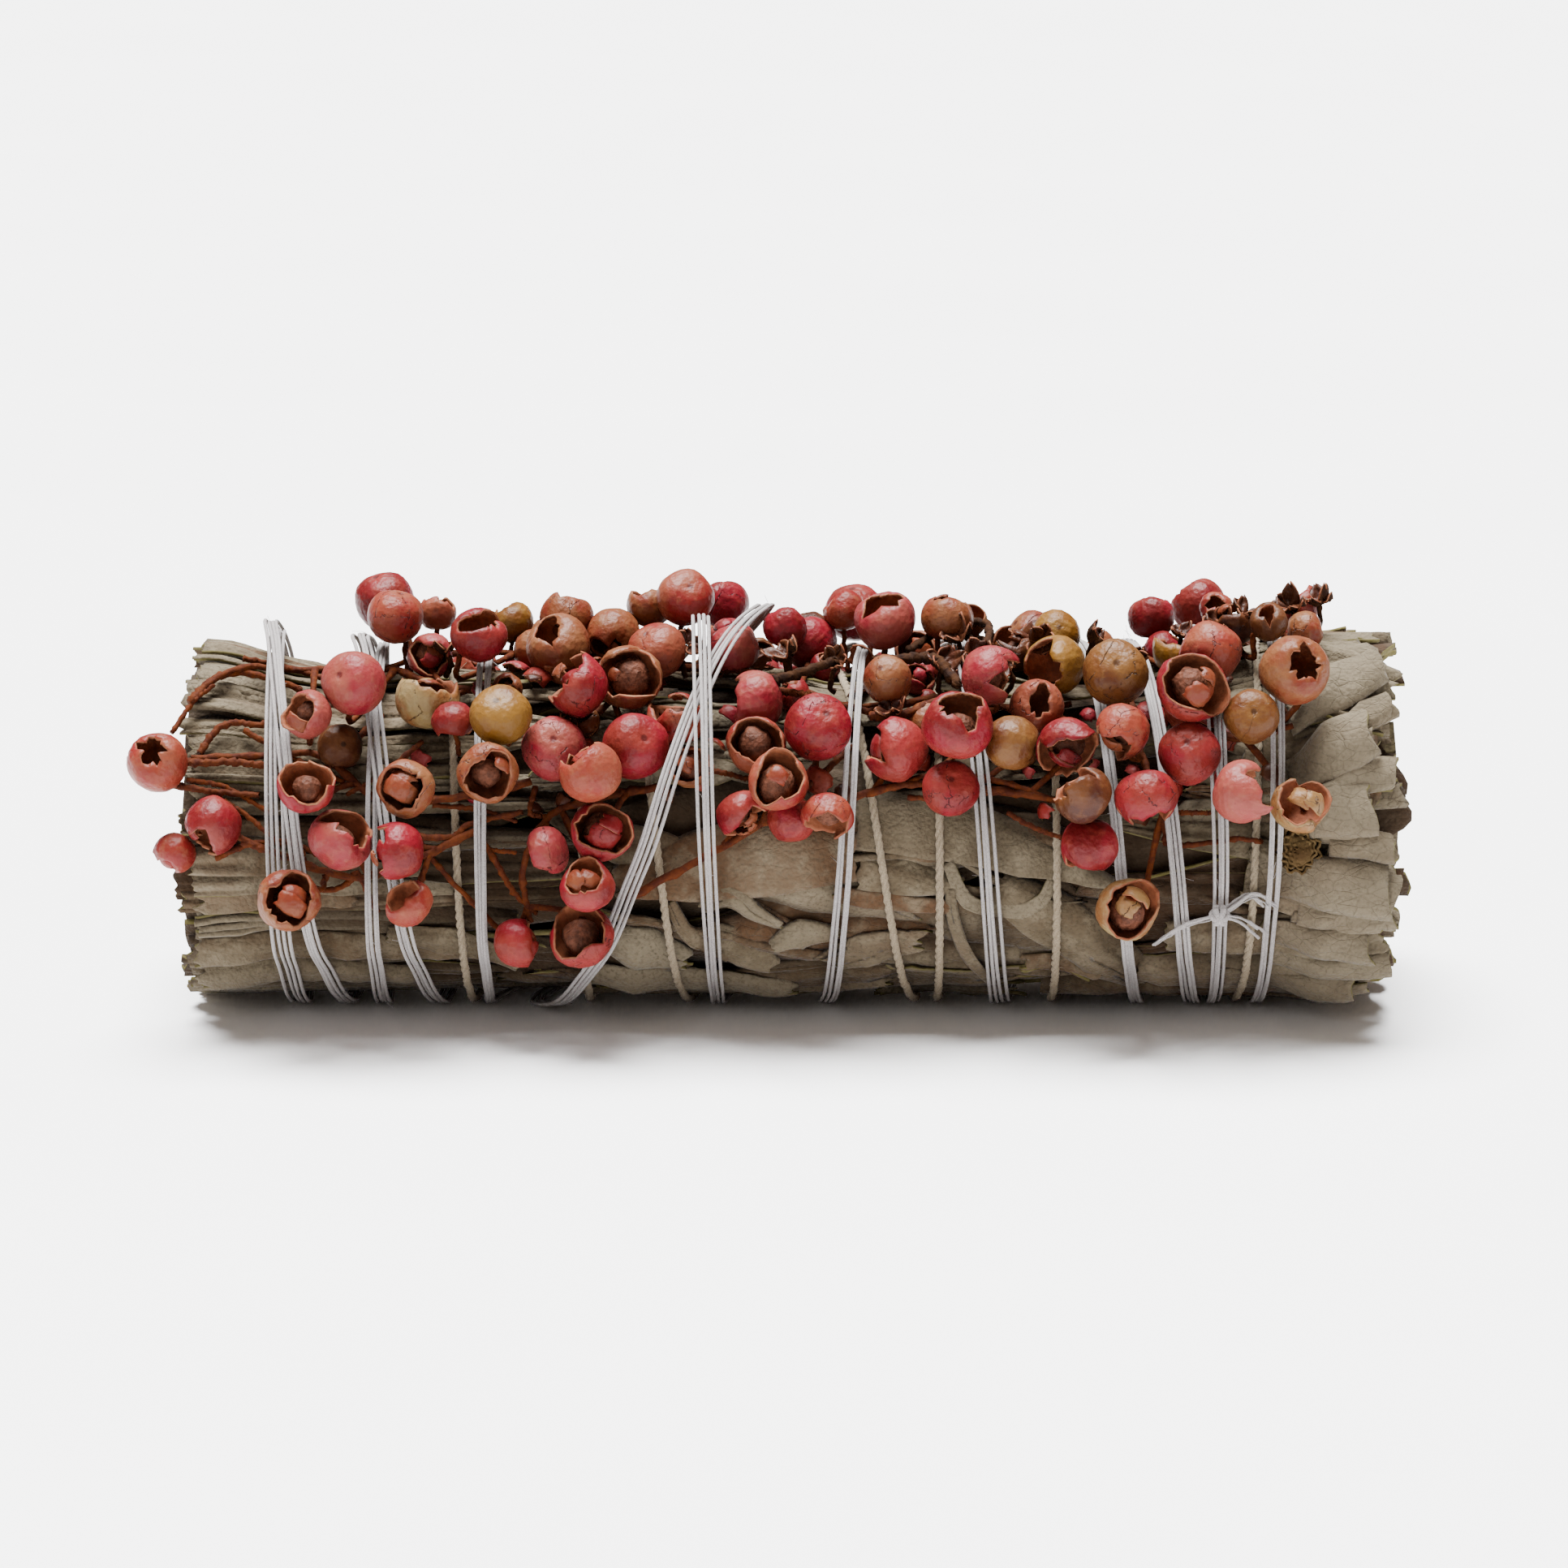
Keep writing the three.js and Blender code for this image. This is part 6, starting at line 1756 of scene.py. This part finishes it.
def spray_materials(look):
    def make():
        for name, title in zip(HUSK_SLOTS, SPRAY_PAINTS):
            skin, deep, pale = (tuple(getattr(look, f"{name}_{part}")) for part in HUSK_PARTS)
            husk_paint(title, skin, deep, pale)
        inside, rim, seed, twig, stalk = SPRAY_PAINTS[len(HUSK_SLOTS):]
        # The inside colour carries painted light, for light through the skin.
        plain_paint(inside, look.husk_inside_painted_light, toned(look.husk_inside_painted_light, 0.55),
                    scale=1.1, bump=0.5, roughness=0.6)
        plain_paint(rim, look.torn_rim, linear(200, 116, 90),
                    scale=2.0, bump=0.3, roughness=0.7)
        plain_paint(seed, look.seed, toned(look.seed, 0.4),
                    scale=1.8, bump=0.9, roughness=0.55)
        plain_paint(twig, look.twig, linear(104, 50, 26),
                    scale=1.6, bump=0.6, roughness=0.75)
        plain_paint(stalk, look.dry_stalk, linear(60, 38, 26),
                    scale=1.2, bump=0.9, roughness=0.85)
    return paints(SPRAY_PAINTS, make)


# The settings shown in the panel

def colour_setting(name, description, colour):
    return bpy.props.FloatVectorProperty(name=name, description=description, default=colour,
                                         subtype="COLOR", size=3, min=0.0, max=1.0)


def length_setting(name, description, size_mm):
    return bpy.props.FloatProperty(name=name, description=description, default=size_mm * MM,
                                   min=0.0, unit="LENGTH", subtype="DISTANCE", precision=5)


def count_setting(name, description, count):
    return bpy.props.IntProperty(name=name, description=description, default=count, min=0, max=400)


def light_setting(name, description, strength):
    return bpy.props.FloatProperty(name=name, description=description, default=strength, min=0.0)


class SageLeafLook(bpy.types.PropertyGroup):
    """Colours, numbers and thickness of the sage leaves."""

    pale_leaf: colour_setting("Pale leaf", "Colour of the palest leaves", linear(178, 164, 140))
    dull_leaf: colour_setting("Dull leaf", "Colour of the grey-green leaves", linear(134, 118, 95))
    brown_leaf: colour_setting("Brown leaf", "Colour of the browned leaves", linear(130, 96, 70))
    cut_edge: colour_setting("Cut edge", "Colour of a cut leaf edge", linear(150, 140, 88))
    stem: colour_setting("Stem", "Colour of the cut stems", linear(150, 124, 86))
    inner: colour_setting("Inner leaves", "Colour deep inside the bunch", linear(110, 98, 72))
    leaf_thickness: length_setting("Leaf thickness", "Thickness of an outer leaf", 0.45)
    loose_thickness: length_setting("Loose leaf thickness", "Thickness of a smaller leaf over them", 0.26)
    ribbons: count_setting("Ribbons", "Narrow folded leaves at the stalk end", 52)
    patches: count_setting("Torn leaves", "Broad torn leaves in the middle", 64)
    rolls: count_setting("Rolled leaves", "Rolled and ruffled leaves at the tip end", 44)


class PepperLook(bpy.types.PropertyGroup):
    """Colours and sizes of the pepper husks, seeds and twigs."""

    # The inside is brighter than the husks' own colours: painted light, for the light that comes through the
    # thin skin into a broken husk.
    husk_inside_painted_light: colour_setting("Husk inside", "Colour inside a broken husk", (0.30, 0.095, 0.045))
    torn_rim: colour_setting("Torn rim", "Colour of a husk's torn edge", linear(222, 160, 124))
    seed: colour_setting("Seed", "Colour of the seeds", (0.105, 0.036, 0.02))
    twig: colour_setting("Twig", "Colour of the fine twigs", linear(150, 80, 42))
    dry_stalk: colour_setting("Dry stalk", "Colour of the dark dry stalks", linear(112, 72, 44))
    twig_radius: length_setting("Twig radius", "Radius of a spray's main twig", TWIG_RADIUS)
    loose_husks: count_setting("Loose husks", "Loose husks scattered between the sprays", 120)
    flakes: count_setting("Flakes", "Loose pieces of husk", 150)


for husk, tones in HUSK_COLOURS.items():
    for part, tone in zip(HUSK_PARTS, tones):
        PepperLook.__annotations__[f"{husk}_{part}"] = colour_setting(
            f"{husk.title()} husk, {part}", f"The {part} colour of a {husk} husk", linear(*tone))


class TieLook(bpy.types.PropertyGroup):
    """Colours and sizes of the string and the cord."""

    white: colour_setting("White cotton", "Colour of the string", (0.36, 0.335, 0.33))
    # The groove colours are painted shade between the fibres of the string and the cord.
    white_groove_shade: colour_setting("White groove", "Colour between its fibres", (0.2, 0.18, 0.175))
    cream: colour_setting("Cream cotton", "Colour of the cord", (0.27, 0.22, 0.155))
    cream_groove_shade: colour_setting("Cream groove", "Colour between its fibres", (0.16, 0.12, 0.075))
    thread_radius: length_setting("Thread radius", "Radius of one thread of the string", 0.155)
    strand_radius: length_setting("Strand radius", "Radius of one strand of the cord", 0.21)
    fibres: count_setting("Loose fibres", "Fibres that stand off the string", 220)


class StageLook(bpy.types.PropertyGroup):
    """The floor and the light."""

    floor_side: bpy.props.FloatProperty(name="Floor side", description="Side of the square floor",
                                        default=3.0, min=0.1, unit="LENGTH", subtype="DISTANCE")
    floor_colour: colour_setting("Floor", "Colour of the floor", (0.95, 0.945, 0.945))
    room_light: light_setting("Room light", "Strength of the soft light all round", 0.32)
    room_colour: colour_setting("Room colour", "Colour of the soft light all round", (1.0, 0.86, 0.75))
    overhead_light: light_setting("Overhead light", "Strength of the wide light above", 20.0)
    overhead_colour: colour_setting("Overhead colour", "Colour of the wide light above", (0.985, 0.995, 1.0))
    front_light: light_setting("Front light", "Power of the soft light in front", 1.4)


# Where each piece's random draws start.
LOOSE_LEAF_SEED = 311
TIE_SEED = 17
SPRAY_SEED = 100
LITTER_SEED = 71
# The stretch of the stick that the torn leaves cover.
PATCH_RUN = (-24, 22)


def raise_if_missing(*nodes):
    """Fails if a solid that a piece stands for isn't in the frame."""
    missing = [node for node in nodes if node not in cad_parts]
    if missing:
        raise RuntimeError(f"The stick has no {', '.join(missing)}")


class SMUDGE_STICK_OT_leaves(bpy.types.Operator):
    """Dress the 24 outer leaves of the bunch"""

    bl_idname = "smudge_stick.leaves"
    bl_label = "Outer Leaves"

    def execute(self, context):
        look = context.scene.sage_leaf_look
        materials = leaf_materials(look)
        for r, ring in enumerate(LEAF_RINGS):
            for column in range(LEAF_COLUMNS):
                heap = Heap()
                node = add_blade(heap, ring, column, 1 + column + 11 * r, look.leaf_thickness / MM)
                raise_if_missing(node)
                heap.make(node + "_dressed", materials, (node,), "sage_leaf")
        return {"FINISHED"}


class SMUDGE_STICK_OT_loose_leaves(bpy.types.Operator):
    """Lay the smaller folded, torn and rolled leaves over the bunch"""

    bl_idname = "smudge_stick.loose_leaves"
    bl_label = "Loose Leaves"

    def execute(self, context):
        look = context.scene.sage_leaf_look
        materials = leaf_materials(look)
        thick = look.loose_thickness / MM
        random = Numbers(LOOSE_LEAF_SEED)
        kinds = [
            ("sage_ribbons", lambda heap: add_ribbons(heap, random, look.ribbons, thick)),
            ("sage_patches", lambda heap: add_patches(heap, random, look.patches, thick, *PATCH_RUN)),
            ("sage_rolls", lambda heap: add_rolls(heap, random, look.rolls, thick)),
            ("sage_front_leaves", lambda heap: add_seen_leaves(heap, thick)),
            ("sage_end_folds", lambda heap: [add_end_folds(heap, random, side) for side in (False, True)]),
        ]
        for name, fill in kinds:
            heap = Heap()
            fill(heap)
            heap.make(name, materials, slot="sage_leaf")
        return {"FINISHED"}


class SMUDGE_STICK_OT_inner_bunch(bpy.types.Operator):
    """Paint the leaves deep inside the bunch"""

    bl_idname = "smudge_stick.inner_bunch"
    bl_label = "Inner Bunch"

    def execute(self, context):
        raise_if_missing("sage_inner_bunch")
        inner = tuple(context.scene.sage_leaf_look.inner)
        paint_node("sage_inner_bunch", plain_paint("Inner bunch", inner, linear(70, 58, 40)))
        return {"FINISHED"}


class SMUDGE_STICK_OT_ties(bpy.types.Operator):
    """Wind the white string and the cream cord, with their threads and fibres"""

    bl_idname = "smudge_stick.ties"
    bl_label = "String and Cord"

    def execute(self, context):
        raise_if_missing("white_string", "cream_cord")
        look = context.scene.tie_look
        cord, string = WINDINGS
        random = Numbers(TIE_SEED)
        heap = Heap()
        add_string(heap, random, string, look.thread_radius / MM)
        add_knot(heap, random)
        add_fibres(heap, random, string, look.fibres)
        white = cotton_paint("White cotton", look.white, look.white_groove_shade)
        heap.make("white_string_threads", [white], ("white_string",), "white_cotton")
        heap = Heap()
        add_cord(heap, random, cord, look.strand_radius / MM)
        add_fibres(heap, random, cord, look.fibres // 2)
        cream = cotton_paint("Cream cotton", look.cream, look.cream_groove_shade)
        heap.make("cream_cord_strands", [cream], ("cream_cord",), "cream_cotton")
        return {"FINISHED"}


class SMUDGE_STICK_OT_sprays(bpy.types.Operator):
    """Grow the fifteen sprays of pepper berries"""

    bl_idname = "smudge_stick.sprays"
    bl_label = "Pepper Sprays"

    def execute(self, context):
        look = context.scene.pepper_look
        materials = spray_materials(look)
        string_line = line_of(WINDINGS[1])
        for k, spray in enumerate(read_sprays()):
            raise_if_missing(spray.name)
            dress_spray(spray, string_line, materials, SPRAY_SEED + k, look.twig_radius / MM)
        return {"FINISHED"}


class SMUDGE_STICK_OT_litter(bpy.types.Operator):
    """Strew loose husks, flakes, twigs and dry flower cups between the sprays"""

    bl_idname = "smudge_stick.litter"
    bl_label = "Loose Husks and Twigs"

    def execute(self, context):
        look = context.scene.pepper_look
        materials = spray_materials(look)
        random = Numbers(LITTER_SEED)
        heap = Heap()
        add_litter(heap, random, read_sprays(), line_of(WINDINGS[1]), look.loose_husks, look.flakes)
        heap.make("pepper_litter", materials, slot="pepper_husk")
        heap = Heap()
        add_loose_twigs(heap, random)
        add_dry_cups(heap, random)
        heap.make("pepper_twigs_and_cups", materials, slot="pepper_husk")
        return {"FINISHED"}


class SMUDGE_STICK_OT_stage(bpy.types.Operator):
    """Lay the white floor and set up the light and the camera"""

    bl_idname = "smudge_stick.stage"
    bl_label = "Floor, Light and Camera"

    def execute(self, context):
        make_stage(context.scene.stage_look)
        return {"FINISHED"}


LOOKS = {"sage_leaf_look": SageLeafLook, "pepper_look": PepperLook, "tie_look": TieLook,
         "stage_look": StageLook}
OPERATORS = [
    SMUDGE_STICK_OT_leaves, SMUDGE_STICK_OT_loose_leaves, SMUDGE_STICK_OT_inner_bunch, SMUDGE_STICK_OT_ties,
    SMUDGE_STICK_OT_sprays, SMUDGE_STICK_OT_litter, SMUDGE_STICK_OT_stage,
]


class SMUDGE_STICK_PT_panel(bpy.types.Panel):
    """The steps that build the stick, and its settings"""

    bl_idname = "SMUDGE_STICK_PT_panel"
    bl_label = "Sage Smudge Stick"
    bl_space_type = "VIEW_3D"
    bl_region_type = "UI"
    bl_category = "Smudge Stick"

    def draw(self, context):
        for operator in OPERATORS:
            self.layout.operator(operator.bl_idname)
        for name, look in LOOKS.items():
            box = self.layout.box()
            box.label(text=look.__doc__)
            for setting in look.__annotations__:
                box.prop(getattr(context.scene, name), setting)


def register():
    for kind in (*LOOKS.values(), *OPERATORS, SMUDGE_STICK_PT_panel):
        bpy.utils.register_class(kind)
    for name, look in LOOKS.items():
        setattr(bpy.types.Scene, name, bpy.props.PointerProperty(type=look))


def unregister():
    for name in LOOKS:
        delattr(bpy.types.Scene, name)
    for kind in (SMUDGE_STICK_PT_panel, *reversed(OPERATORS), *reversed(list(LOOKS.values()))):
        bpy.utils.unregister_class(kind)


def main():
    register()
    bpy.ops.smudge_stick.leaves()
    bpy.ops.smudge_stick.loose_leaves()
    bpy.ops.smudge_stick.inner_bunch()
    bpy.ops.smudge_stick.ties()
    bpy.ops.smudge_stick.sprays()
    bpy.ops.smudge_stick.litter()
    bpy.ops.smudge_stick.stage()


if __name__ == "__main__":
    main()
